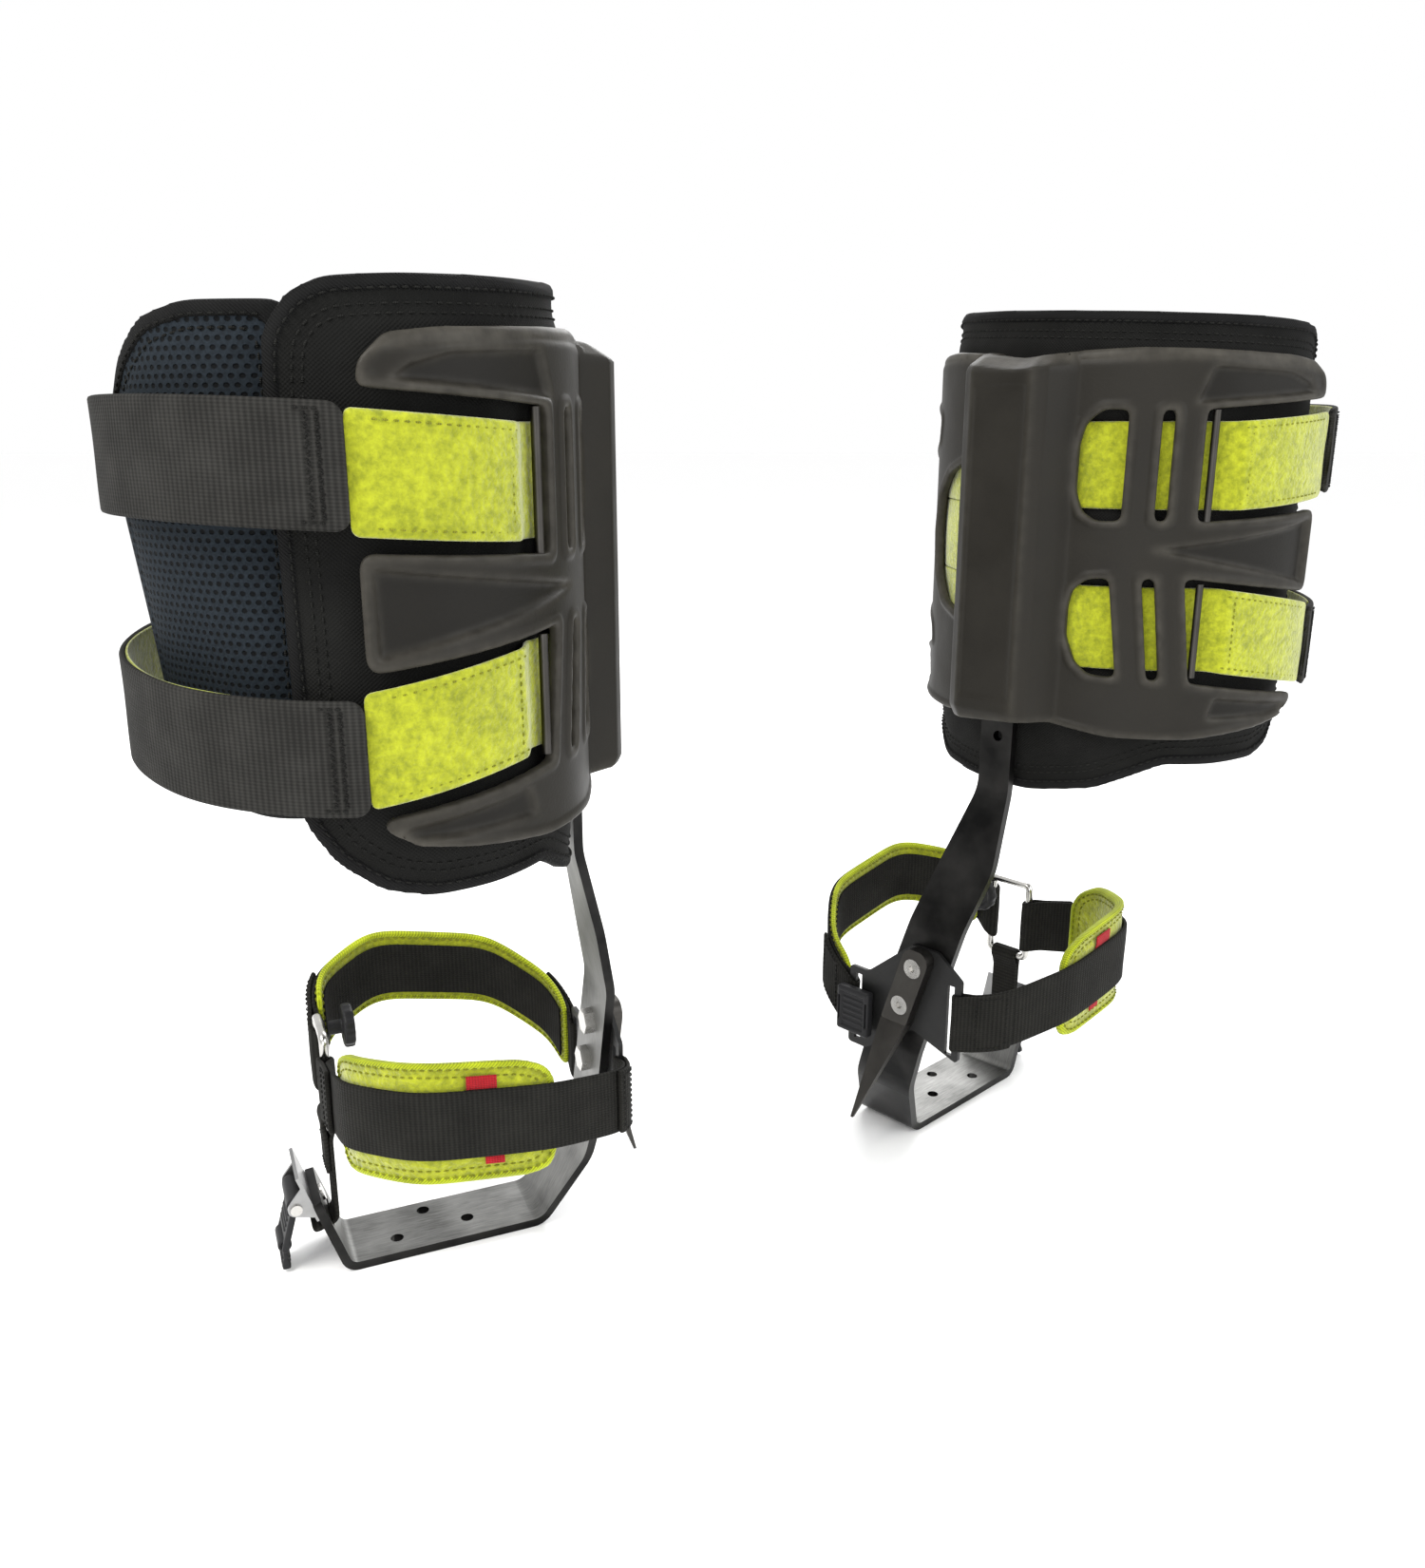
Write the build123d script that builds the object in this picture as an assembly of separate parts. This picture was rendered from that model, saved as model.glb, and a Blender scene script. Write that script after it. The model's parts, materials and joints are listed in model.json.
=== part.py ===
from build123d import *
import os
from math import atan2, cos, degrees, radians, sin, sqrt

# A pair of tree climbing spurs, in millimetres.
# Each spur is drawn once as the left one: +X to the inner leg (shank side), +Y to the toes,
# +Z up, with z = 0 under the middle of the sole plate. The right spur is its mirror image.

# ---- how the pair stands ----
PAIR_SPREAD = 262.7       # sideways distance between the two sole plates
PAIR_STAGGER = 130.9      # the right spur stands this much further back
LEFT_YAW = 23.4
RIGHT_YAW = 43.8

# ---- stirrup and shank: one bent flat bar ----
BAR_T = 4.0
SOLE_L = 92.0             # across the foot
SOLE_W = 36.0             # along the foot
LUG_LEAN = 11.5           # the outer lug leans out this far ...
LUG_H = 35.0              # ... over this height
SHANK_X = 69.0            # middle of the bar beside the ankle
KNEE_X = SHANK_X - 3
KNEE_Z = 38.0
ANKLE_Z = 62.0
BEND_LOW_Z = 135.0
BEND_HIGH_Z = BEND_LOW_Z + 70
NECK_X = SHANK_X - 16     # middle of the bar inside the cuff
NECK_Y = -61.0            # the shank runs up behind the foot plate
NECK_W = 19.0
FLARE_W = 30.0            # width where the bar starts to narrow
FLARE_Z = BEND_LOW_Z + 32
FLARE_Y = -53.0
SOLE_HOLE_R = 3.0
SOLE_HOLES = [(-7.0, 11.0), (11.5, -3.5), (-22.5, -6.5)]
LUG_SLOT_AT = 23.5        # along the lug, from its foot
LUG_SLOT_H = 4.0

# ---- gaff and strap bracket on the outer face ----
BRACKET_T = 2.0
GAFF_T = 6.0
GAFF_W = 16.0
GAFF_TOP_Z = 122.0
GAFF_LOW_Z = 80.0
GAFF_REACH = 15.7         # the tip stands out from the gaff's face this far ...
GAFF_DROP = 53.0          # ... this far below its flat part
GAFF_TIP_Y = -13.0
GAFF_TIP_W = 1.4
BOLT_IN = 10.0            # screws from the ends of the gaff's flat part
BOLT_R = 3.0
BOLT_HEAD_R = 5.0
BOLT_HEAD_H = 2.6
NUT_FLATS = 10.0
NUT_H = 4.5
HOLE_CLEAR = 0.05
TAB_BAR = 4.0             # the bracket's end bars that the straps fold round
TAB_SLOT = 4.0
HEEL_TAB_Y = -61.0
TOE_TAB_Y = 9.3

# ---- foot straps ----
WEB_W = 30.0
WEB_T = 2.0
FOLD_GAP = 0.2            # a folded strap clears its bar by this much
LAYER_GAP = 0.2
TAB_SLOT_H = WEB_W + 7    # the straps leave their slots at a slope
TAB_H = TAB_SLOT_H + 7
HEEL_BACK_Y = -96.0
HEEL_Z = GAFF_LOW_Z + 9   # middle of the strap at the shank
HEEL_RISE_X = -0.13
HEEL_RISE_Y = -0.245
INSTEP_FRONT_Y = 52.0
INSTEP_Z = GAFF_LOW_Z - 3
INSTEP_RISE_X = -0.2
INSTEP_RISE_Y = 0.6
HEEL_PAD_T = 5.0
HEEL_PAD_H = WEB_W + 22
HEEL_PAD_FRONT_Y = -48.0
LINING_T = 2.4
LINING_H = WEB_W + 4
LINING_BACK_Y = 12.0
RING_R = 2.0
RING_X = -SOLE_L / 2 - 3
RING_Y = -8.0
RING_Z = 97.0
RING_W = 24.0
RING_H = TAB_SLOT_H + 7
STUD_UP = 15.0            # above the middle of the ring
STUD_R = 10.0
STUD_T = 5.0
STUD_STEM = 6.5
SIDE_WEB_W = 16.0         # narrow webbing from the ring down to the lug
SIDE_WEB_Y = -7.0
LUG_SLOT_Y = -2.0
LUG_SLOT_W = SIDE_WEB_W + 11
BLOCK_SIZE = (5.5, 21.0, 25.0)
LABEL_SIZE = (12.0, 1.0, 4.0)
LABEL_X = 2.0

# ---- buckle on the outer lug ----
PLATE_T = 1.6
PLATE_W = 28.0
PLATE_FROM = LUG_SLOT_AT + 4
PLATE_LEN = 24.5
RIVET_AT = PLATE_FROM + 4.5
RIVET_R = 2.0
PIN_AT = RIVET_AT + 6
PIN_OUT = 9.0             # from the middle of the lug
PIN_R = 1.5
PIN_CLEAR = 0.05
EAR_T = 1.6
HUB_R = 4.0
LEVER_W = 22.0
LEVER_T = 3.0
LEVER_DROP = 18.3         # lever's end from its pin, down the lug ...
LEVER_OUT = 12.4          # ... and out from it
TAB_EYE_R = 3.2
TAB_W = 15.0
TAB_T = 2.2
TAB_LEN = 12.5

# ---- cuff: everything follows ellipses about one upright axis ----
PAD_A = 74.0              # outer half widths of the pad, across and along the leg
PAD_B = 83.0
PAD_T = 9.0
PAD_END = 117.0           # half angle of the pad's wrap
CUFF_X = NECK_X - 6 - PAD_A
CUFF_Y = NECK_Y - 6
CUFF_Z = 237.0            # bottom of the shell
SHELL_H = 168.0
SHELL_TOP = CUFF_Z + SHELL_H
PAD_OUTLINE = [(CUFF_X - 37, CUFF_Z + 19), (CUFF_X - 11, CUFF_Z - 7), (CUFF_X + 30, CUFF_Z - 15),
               (NECK_X - 1, CUFF_Z - 31), (NECK_X - 1, SHELL_TOP + 19), (CUFF_X + 7, SHELL_TOP + 13),
               (CUFF_X - 21, SHELL_TOP + 8), (CUFF_X - 37, SHELL_TOP - 11)]
TONGUE_X = CUFF_X - 8
TONGUE_A = PAD_A - 7
TONGUE_B = PAD_B - PAD_T - 5
TONGUE_T = 6.5
TONGUE_FROM = 105.0
TONGUE_Z = (CUFF_Z + 13, SHELL_TOP + 3)
STRAP_W = 37.0            # calf strap width
STRAP_T = 1.8
STRAP_GAP = 0.4
SHELL_GAP = 3.0           # pad to shell, where the straps run
SHELL_T = 4.5
SHELL_END = 97.0
SPINE_OUT = 17.0          # outer face from the middle of the shank
SPINE_W = NECK_W + 19
SPINE_T = 4.0
SPINE_IN = 4.0            # the spine stops this far inside the shell's edges
UPPER_IN = 48.5           # middle of the upper strap below the shell's top
LOWER_IN = 49.5
WINDOW_H = STRAP_W + 9
LOWER_WINDOW_H = STRAP_W + 4
WINDOW_FROM = -15.0
BARS = [(-36.0, -28.0), (-49.0, -41.0)]
STRAP_EXIT = -57.0
GAP_H = STRAP_W + 7       # open gap between the fingers of the shell
UPPER_TILT = -0.076
LOWER_TILT = 0.17
LENS_AT = 34.0
LENS_SIZE = (19.0, 36.0)
NOTCH_H = 14.0
NOTCH_FROM = 44.0
MID_BAND_END = 76.0
ROD_AT = -52.0
ROD_R = 1.6
BASE_END = 96.0
CLOSE_T = 2.0
TAB_END = -96.0

# ---- height adjustment ----
TRAVEL = 40.0
SCREW_UP = (78.0, 92.0)   # above the bottom of the shell
SCREW_R = 2.5
SLOT_CLEAR = 0.1
SLOT_WALL = 10.4          # bar left above the slot
SCREW_HEAD_R = 4.4
SCREW_HEAD_H = 2.8
SLIDE_CLEAR = 0.15
BLOCK_OVER = 7.0          # block beyond its screws
PITCH_HOLE_UP = 27.0      # spare hole above the upper bend

REACH = 400.0             # longer than any part, for cutting solids
OUTER_FACE = SHANK_X + BAR_T / 2
BRACKET_FACE = OUTER_FACE + BRACKET_T
BRACKET_MID = OUTER_FACE + BRACKET_T / 2
GAFF_FACE = BRACKET_FACE + GAFF_T
BOLT_Z = (GAFF_TOP_Z - BOLT_IN, GAFF_LOW_Z + BOLT_IN)
LUG_LEN = sqrt(LUG_LEAN**2 + LUG_H**2)
LUG_DIR = (-LUG_LEAN / LUG_LEN, LUG_H / LUG_LEN)
LUG_OUT = (-LUG_H / LUG_LEN, -LUG_LEAN / LUG_LEN)
LUG_TILT = degrees(atan2(LUG_LEAN, LUG_H))
HEEL_BAR_Y = HEEL_TAB_Y + TAB_BAR / 2
TOE_BAR_Y = TOE_TAB_Y - TAB_BAR / 2
FOLD_OUT = TAB_BAR / 2 + FOLD_GAP + WEB_T / 2     # bar to the middle of a strap folded round it
RING_OUT = RING_R + FOLD_GAP + WEB_T / 2
HEEL_CORNERS = [(SHANK_X - 5, HEEL_BAR_Y - 22), (SHANK_X - 41, HEEL_BACK_Y), (RING_X + 24, HEEL_BACK_Y),
                (RING_X, HEEL_BACK_Y + 28)]
HEEL_RADII = [8, 20, 22, 20]
INSTEP_CORNERS = [(BRACKET_MID - 4, INSTEP_FRONT_Y - 22), (SHANK_X - 31, INSTEP_FRONT_Y),
                  (RING_X + 31, INSTEP_FRONT_Y), (RING_X + 1, INSTEP_FRONT_Y - 24)]
INSTEP_RADII = [10, 24, 26, 14]
HEEL_PAD_X = (RING_X - 11, SHANK_X - 35)
LINING_X = (RING_X - 11, SHANK_X - 3)
SHELL_A = PAD_A + SHELL_GAP
SHELL_B = PAD_B + SHELL_GAP
SHELL_Z = (CUFF_Z, SHELL_TOP)
EXIT_X = CUFF_X + SHELL_A * cos(radians(STRAP_EXIT))
OUTER_A = SHELL_A + 0.3                           # the base strap outside the shell's gap
OUTER_B = SHELL_B + SHELL_T - 0.3
CLOSE_A = OUTER_A + STRAP_T + STRAP_GAP
CLOSE_B = OUTER_B + STRAP_T + STRAP_GAP
SPINE_X = NECK_X + SPINE_OUT
SPINE_Z = (CUFF_Z + SPINE_IN, SHELL_TOP - SPINE_IN)
UPPER_Z = SHELL_TOP - UPPER_IN                    # middle of each calf strap at its window
LOWER_Z = CUFF_Z + LOWER_IN
SCREW_Z = (CUFF_Z + SCREW_UP[0], CUFF_Z + SCREW_UP[1])
BLOCK_Z = (SCREW_Z[0] - BLOCK_OVER, SCREW_Z[1] + BLOCK_OVER)
SLOT_Z = (SCREW_Z[0] - SCREW_R - SLOT_CLEAR, SCREW_Z[1] + TRAVEL + SCREW_R + SLOT_CLEAR)
SHANK_TOP_Z = SLOT_Z[1] + SLOT_WALL


def side_prism(points, radii, amount):
    """A side view outline (y, z) drawn out along X from the origin."""
    outline = FilletPolyline(*points, radius=radii, close=True)
    return extrude(Plane.YZ * make_face(outline), amount)


def ribbon_xz(line, thickness, width, y_mid=0.0):
    """A strip that follows a line of (x, z) and is wide along Y."""
    return Pos(0, y_mid, 0) * extrude(Plane.XZ * trace(line, thickness), width / 2, both=True)


def sloped_slab(point, rise_x, rise_y, height):
    """Space between two parallel sloping planes, height apart when measured upright."""
    length = sqrt(1 + rise_x**2 + rise_y**2)
    plane = Plane(origin=point, z_dir=(-rise_x, -rise_y, 1))
    return plane * Box(2 * REACH, 2 * REACH, height / length)


def plan_strap(face, slab):
    """A strap seen from above, trimmed to the space it runs in."""
    return extrude(Pos(0, 0, -REACH) * face, 2 * REACH) & slab


def lug_point(along, out):
    """A point (x, z) on the lug, measured from its foot and out of its middle."""
    return (-SOLE_L / 2 + along * LUG_DIR[0] + out * LUG_OUT[0],
            BAR_T / 2 + along * LUG_DIR[1] + out * LUG_OUT[1])


def shank_mid_y(z):
    """Middle of the bar's side view at a height below the flare."""
    return FLARE_Y * (z - BAR_T) / (FLARE_Z - BAR_T)


def x_cylinder(radius, x_from, x_to, y, z):
    return Pos((x_from + x_to) / 2, y, z) * (Rot(0, 90, 0) * Cylinder(radius, x_to - x_from))


def y_cylinder(radius, length, x, z, y_mid=0.0):
    return Pos(x, y_mid, z) * (Rot(90, 0, 0) * Cylinder(radius, length))


# ---- stirrup, gaff and foot straps ----

def stirrup_shank():
    path = FilletPolyline(lug_point(LUG_LEN, 0), (-SOLE_L / 2, BAR_T / 2), (SOLE_L / 2, BAR_T / 2),
                          (KNEE_X, KNEE_Z), (SHANK_X, ANKLE_Z), (SHANK_X, BEND_LOW_Z),
                          (NECK_X, BEND_HIGH_Z), (NECK_X, SHANK_TOP_Z),
                          radius=[6, 9, 28, 20, 34, 34])
    bar = ribbon_xz(path, BAR_T, REACH)
    half = SOLE_W / 2
    riser = side_prism([(half, -BAR_T), (half, BAR_T), (FLARE_Y + FLARE_W / 2, FLARE_Z),
                        (NECK_Y + NECK_W / 2, BEND_HIGH_Z), (NECK_Y + NECK_W / 2, SHANK_TOP_Z),
                        (NECK_Y - NECK_W / 2, SHANK_TOP_Z), (FLARE_Y - FLARE_W / 2, FLARE_Z),
                        (-half, BAR_T), (-half, -BAR_T)],
                       [0.5, 12, 40, 40, 4, 4, 30, 12, 0.5], REACH)
    lug = side_prism([(half, -BAR_T), (half, LUG_H + BAR_T), (-half, LUG_H + BAR_T), (-half, -BAR_T)],
                     [0.5, 7, 7, 0.5], -REACH)
    part = (bar & riser) + (bar & lug)
    for x, y in SOLE_HOLES:
        part -= Pos(x, y, BAR_T / 2) * Cylinder(SOLE_HOLE_R, 2 * BAR_T)
    for z in BOLT_Z:
        part -= x_cylinder(BOLT_R + HOLE_CLEAR, SHANK_X - BAR_T, SHANK_X + BAR_T, shank_mid_y(z), z)
    x, z = lug_point(LUG_SLOT_AT, 0)
    part -= Pos(x, LUG_SLOT_Y, z) * (Rot(0, -LUG_TILT, 0) * Box(3 * BAR_T, LUG_SLOT_W, LUG_SLOT_H))
    x, z = lug_point(RIVET_AT, 0)
    part -= Pos(x, 0, z) * (Rot(0, 90 - LUG_TILT, 0) * Cylinder(RIVET_R, 3 * BAR_T))
    slot = SlotOverall(SLOT_Z[1] - SLOT_Z[0], 2 * (SCREW_R + SLOT_CLEAR), rotation=90)
    part -= extrude(Plane.YZ * (Pos(NECK_Y, sum(SLOT_Z) / 2) * slot), REACH)
    part -= x_cylinder(SCREW_R, NECK_X - BAR_T, NECK_X + BAR_T, NECK_Y, BEND_HIGH_Z + PITCH_HOLE_UP)
    return part


def gaff():
    top, low, half = shank_mid_y(GAFF_TOP_Z), shank_mid_y(GAFF_LOW_Z), GAFF_W / 2
    mount = side_prism([(low - half, GAFF_LOW_Z), (low + half, GAFF_LOW_Z), (top + half, GAFF_TOP_Z),
                        (top - half, GAFF_TOP_Z)], [1, 1, 6, 6], GAFF_T)
    mount = Pos(BRACKET_FACE, 0, 0) * mount
    root = Pos(BRACKET_FACE + GAFF_T / 2, low, GAFF_LOW_Z) * Rectangle(GAFF_T, GAFF_W)
    tip = Pos(GAFF_FACE + GAFF_REACH, GAFF_TIP_Y, GAFF_LOW_Z - GAFF_DROP) * Rectangle(GAFF_TIP_W, GAFF_TIP_W)
    part = mount + loft([root, tip], ruled=True)
    for z in BOLT_Z:
        y = shank_mid_y(z)
        part -= x_cylinder(BOLT_R + HOLE_CLEAR, BRACKET_FACE - 1, GAFF_FACE + 1, y, z)
        part -= x_cylinder(BOLT_HEAD_R + HOLE_CLEAR, GAFF_FACE - BOLT_HEAD_H, GAFF_FACE + 1, y, z)
    return part


def gaff_screws():
    screws = []
    for z in BOLT_Z:
        y = shank_mid_y(z)
        body = x_cylinder(BOLT_R, SHANK_X - BAR_T / 2 - NUT_H, GAFF_FACE - BOLT_HEAD_H, y, z)
        head = x_cylinder(BOLT_HEAD_R, GAFF_FACE - BOLT_HEAD_H, GAFF_FACE, y, z)
        key = extrude(Plane.YZ * RegularPolygon(2.0, 6), 2 * BOLT_HEAD_H)
        screws.append(body + head - Pos(GAFF_FACE - BOLT_HEAD_H / 2, y, z) * key)
    return Compound(screws)


def gaff_nuts():
    nuts = []
    hexagon = RegularPolygon(NUT_FLATS / 2, 6, major_radius=False) - Circle(BOLT_R)
    for z in BOLT_Z:
        nut = extrude(Plane.YZ * hexagon, NUT_H)
        nuts.append(Pos(SHANK_X - BAR_T / 2 - NUT_H, shank_mid_y(z), z) * nut)
    return Compound(nuts)


def strap_bracket():
    """Flat plate under the gaff; both its ends are slotted for a foot strap."""
    half = TAB_H / 2
    heel_z, toe_z = HEEL_Z, INSTEP_Z
    outline = [(HEEL_TAB_Y, heel_z - half), (HEEL_TAB_Y, heel_z + half),
               (shank_mid_y(GAFF_TOP_Z) - GAFF_W / 2, GAFF_TOP_Z), (shank_mid_y(GAFF_TOP_Z) + GAFF_W / 2, GAFF_TOP_Z),
               (TOE_TAB_Y - 2 * TAB_BAR - TAB_SLOT, toe_z + half), (TOE_TAB_Y, toe_z + half),
               (TOE_TAB_Y, toe_z - half), (TOE_TAB_Y - 2 * TAB_BAR - TAB_SLOT, toe_z - half),
               (shank_mid_y(GAFF_LOW_Z) - GAFF_W / 2, GAFF_LOW_Z - 4)]
    plate = Pos(OUTER_FACE, 0, 0) * side_prism(outline, [2, 2, 4, 4, 4, 2, 2, 4, 4], BRACKET_T)
    mid = OUTER_FACE + BRACKET_T / 2
    plate -= Pos(mid, HEEL_TAB_Y + TAB_BAR + TAB_SLOT / 2, heel_z) * Box(2 * BRACKET_T, TAB_SLOT, TAB_SLOT_H)
    plate -= Pos(mid, TOE_TAB_Y - TAB_BAR - TAB_SLOT / 2, toe_z) * Box(2 * BRACKET_T, TAB_SLOT, TAB_SLOT_H)
    for z in BOLT_Z:
        plate -= x_cylinder(BOLT_R + HOLE_CLEAR, mid - BRACKET_T, mid + BRACKET_T, shank_mid_y(z), z)
    return plate


def strap_fold(x, y, bar_x, bar_y):
    """Plan of a strap folded round an upright bar of the given section."""
    inner_x, inner_y = bar_x + 2 * FOLD_GAP, bar_y + 2 * FOLD_GAP
    outer = RectangleRounded(inner_x + 2 * WEB_T, inner_y + 2 * WEB_T, WEB_T)
    return Pos(x, y) * (outer - RectangleRounded(inner_x, inner_y, 0.4))


def heel_line():
    """Plan line of the heel strap, from the bracket round the heel to the ring."""
    start = (BRACKET_MID, HEEL_BAR_Y - FOLD_OUT)
    end = (RING_X, RING_Y - RING_W / 2 - RING_OUT)
    return FilletPolyline(start, *HEEL_CORNERS, end, radius=HEEL_RADII)


def instep_line():
    """Plan line of the instep strap, from the bracket round the front to the ring."""
    start = (BRACKET_MID, TOE_BAR_Y + FOLD_OUT)
    end = (RING_X, RING_Y + RING_W / 2 + RING_OUT)
    return FilletPolyline(start, *INSTEP_CORNERS, end, radius=INSTEP_RADII)


def inner_layer(line, thickness, x_range):
    """Plan of a layer lying inside a foot strap, between two places across the foot."""
    inner = WEB_T + 2 * LAYER_GAP
    both_sides = trace(line, inner + 2 * thickness) - trace(line, inner)
    x_mid = sum(x_range) / 2
    span = Pos(x_mid, 0) * Rectangle(x_range[1] - x_range[0], REACH)
    foot_y = (HEEL_BACK_Y + INSTEP_FRONT_Y) / 2
    return min((both_sides & span).faces(), key=lambda face: abs(face.center().Y - foot_y))


def heel_slab(height):
    return sloped_slab((BRACKET_MID, HEEL_BAR_Y, HEEL_Z), HEEL_RISE_X, HEEL_RISE_Y, height)


def instep_slab(height):
    return sloped_slab((BRACKET_MID, TOE_BAR_Y, INSTEP_Z), INSTEP_RISE_X, INSTEP_RISE_Y, height)


def heel_strap():
    run = trace(heel_line(), WEB_T)
    plan = run + strap_fold(BRACKET_MID, HEEL_BAR_Y, BRACKET_T, TAB_BAR)
    plan += strap_fold(RING_X, RING_Y - RING_W / 2, 2 * RING_R, 2 * RING_R)
    return plan_strap(plan, heel_slab(WEB_W))


def heel_pad():
    plan = inner_layer(heel_line(), HEEL_PAD_T, HEEL_PAD_X)
    plan -= Pos(0, HEEL_PAD_FRONT_Y + REACH / 2) * Rectangle(REACH, REACH)
    return plan_strap(plan, heel_slab(HEEL_PAD_H))


def heel_label():
    """Small folded tab on the pad, just above the strap."""
    rise = HEEL_RISE_X * (LABEL_X - BRACKET_MID) + HEEL_RISE_Y * (HEEL_BACK_Y - HEEL_BAR_Y)
    y_mid = HEEL_BACK_Y + WEB_T / 2 + LAYER_GAP - LABEL_SIZE[1] / 2
    label = Pos(LABEL_X, y_mid, HEEL_Z + rise + WEB_W / 2 + LABEL_SIZE[2]) * Box(*LABEL_SIZE)
    return label - heel_slab(WEB_W)


def instep_strap():
    run = trace(instep_line(), WEB_T)
    plan = run + strap_fold(BRACKET_MID, TOE_BAR_Y, BRACKET_T, TAB_BAR)
    plan += strap_fold(RING_X, RING_Y + RING_W / 2, 2 * RING_R, 2 * RING_R)
    return plan_strap(plan, instep_slab(WEB_W))


def instep_lining():
    plan = inner_layer(instep_line(), LINING_T, LINING_X)
    plan -= Pos(0, LINING_BACK_Y - REACH / 2) * Rectangle(REACH, REACH)
    return plan_strap(plan, instep_slab(LINING_H))


def instep_block():
    """Moulded block on the outside of the bracket's toe tab, where the strap is adjusted."""
    x = BRACKET_MID + BRACKET_T / 2 + FOLD_GAP + WEB_T + BLOCK_SIZE[0] / 2 + LAYER_GAP
    block = Pos(x, TOE_BAR_Y - 6, INSTEP_Z) * Box(*BLOCK_SIZE)
    return fillet(block.edges().filter_by(Axis.X), 3)


def ankle_ring():
    wire = FilletPolyline((-RING_W / 2, -RING_H / 2), (RING_W / 2, -RING_H / 2), (RING_W / 2, RING_H / 2),
                          (-RING_W / 2, RING_H / 2), radius=3, close=True)
    path = Plane(origin=(RING_X, RING_Y, RING_Z), x_dir=(0, 1, 0), z_dir=(1, 0, 0)) * wire
    start = path.edges()[0]
    section = Plane(origin=start @ 0, z_dir=start % 0) * Circle(RING_R)
    return sweep(section, path=path)


def ankle_stud():
    """Stud with a flat head, seated on the instep strap's fold round the ring."""
    y = RING_Y + RING_W / 2
    seat = RING_X + RING_OUT + WEB_T / 2
    z = RING_Z + STUD_UP
    stem = x_cylinder(STUD_R / 3, seat, seat + STUD_STEM, y, z)
    head = x_cylinder(STUD_R, seat + STUD_STEM, seat + STUD_STEM + STUD_T, y, z)
    return fillet((stem + head).edges().filter_by(GeomType.CIRCLE).group_by(Axis.X)[-1], 1.5)


def side_strap():
    """Webbing that runs from the ring down to the lug and out through its slot."""
    low_bar = RING_Z - RING_H / 2
    slot_x, slot_z = lug_point(LUG_SLOT_AT, 0)
    end = lug_point(LUG_SLOT_AT, 7)
    turn = (RING_X, slot_z + (RING_X - slot_x) * LUG_OUT[1] / LUG_OUT[0])
    path = FilletPolyline((RING_X, low_bar - RING_OUT), turn, end, radius=3)
    plan = trace(path, WEB_T)
    fold = Pos(RING_X, low_bar) * (Circle(RING_OUT + WEB_T / 2) - Circle(RING_R + FOLD_GAP))
    return Pos(0, SIDE_WEB_Y, 0) * extrude(Plane.XZ * (plan + fold), SIDE_WEB_W / 2, both=True)


# ---- buckle on the outer lug ----

def pin_spot():
    return lug_point(PIN_AT, PIN_OUT)


def lever_end():
    return lug_point(PIN_AT - LEVER_DROP, PIN_OUT + LEVER_OUT)


def buckle_frame():
    """Steel plate riveted to the lug, with two ears that hold the lever's pin."""
    out = BAR_T / 2 + PLATE_T / 2
    plate = ribbon_xz(Line(lug_point(PLATE_FROM, out), lug_point(PLATE_FROM + PLATE_LEN, out)), PLATE_T, PLATE_W)
    x, z = pin_spot()
    ear = make_face(Polyline(lug_point(PIN_AT - 9, BAR_T / 2), lug_point(PIN_AT + 9, BAR_T / 2),
                             lug_point(PIN_AT + 3.4, PIN_OUT + 1.5), lug_point(PIN_AT - 3.4, PIN_OUT + 1.5),
                             close=True))
    ear += Pos(x, z) * Circle(3.6)
    blank = extrude(Plane.XZ * ear, PLATE_W / 2, both=True)
    ears = blank - Pos(x, 0, z) * Box(REACH, PLATE_W - 2 * EAR_T, REACH)
    frame = plate + ears
    frame -= y_cylinder(PIN_R + PIN_CLEAR, 2 * PLATE_W, x, z)
    x, z = lug_point(RIVET_AT, out)
    return frame - Pos(x, 0, z) * (Rot(0, 90 - LUG_TILT, 0) * Cylinder(RIVET_R, 2 * BAR_T))


def buckle_rivet():
    turn = Rot(0, 90 - LUG_TILT, 0)
    x, z = lug_point(RIVET_AT, PLATE_T / 2)
    shaft = Pos(x, 0, z) * (turn * Cylinder(RIVET_R, BAR_T + PLATE_T))
    x, z = lug_point(RIVET_AT, BAR_T / 2 + PLATE_T + 0.5)
    outer = Pos(x, 0, z) * (turn * Cylinder(2 * RIVET_R, 1.0))
    x, z = lug_point(RIVET_AT, -BAR_T / 2 - 0.5)
    return shaft + outer + Pos(x, 0, z) * (turn * Cylinder(2 * RIVET_R, 1.0))


def buckle_pin():
    x, z = pin_spot()
    pin = y_cylinder(PIN_R, PLATE_W + 2, x, z)
    for sign in (-1, 1):
        pin += y_cylinder(2.6, 1, x, z, sign * (PLATE_W / 2 + 0.5))
    return pin


def buckle_lever():
    x, z = pin_spot()
    end_x, end_z = lever_end()
    body = trace(Line((x, z), (end_x, end_z)), LEVER_T) + Pos(x, z) * Circle(HUB_R)
    body += Pos(end_x, end_z) * Circle(LEVER_T / 2)
    lever = extrude(Plane.XZ * body, LEVER_W / 2, both=True)
    lever -= y_cylinder(PIN_R + PIN_CLEAR, 2 * LEVER_W, x, z)
    notch = Pos(end_x, 0, end_z) * Box(3 * TAB_EYE_R, TAB_W + 1, 2 * TAB_EYE_R + 2)
    return lever - notch + y_cylinder(LEVER_T / 2, LEVER_W, end_x, end_z)


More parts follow.
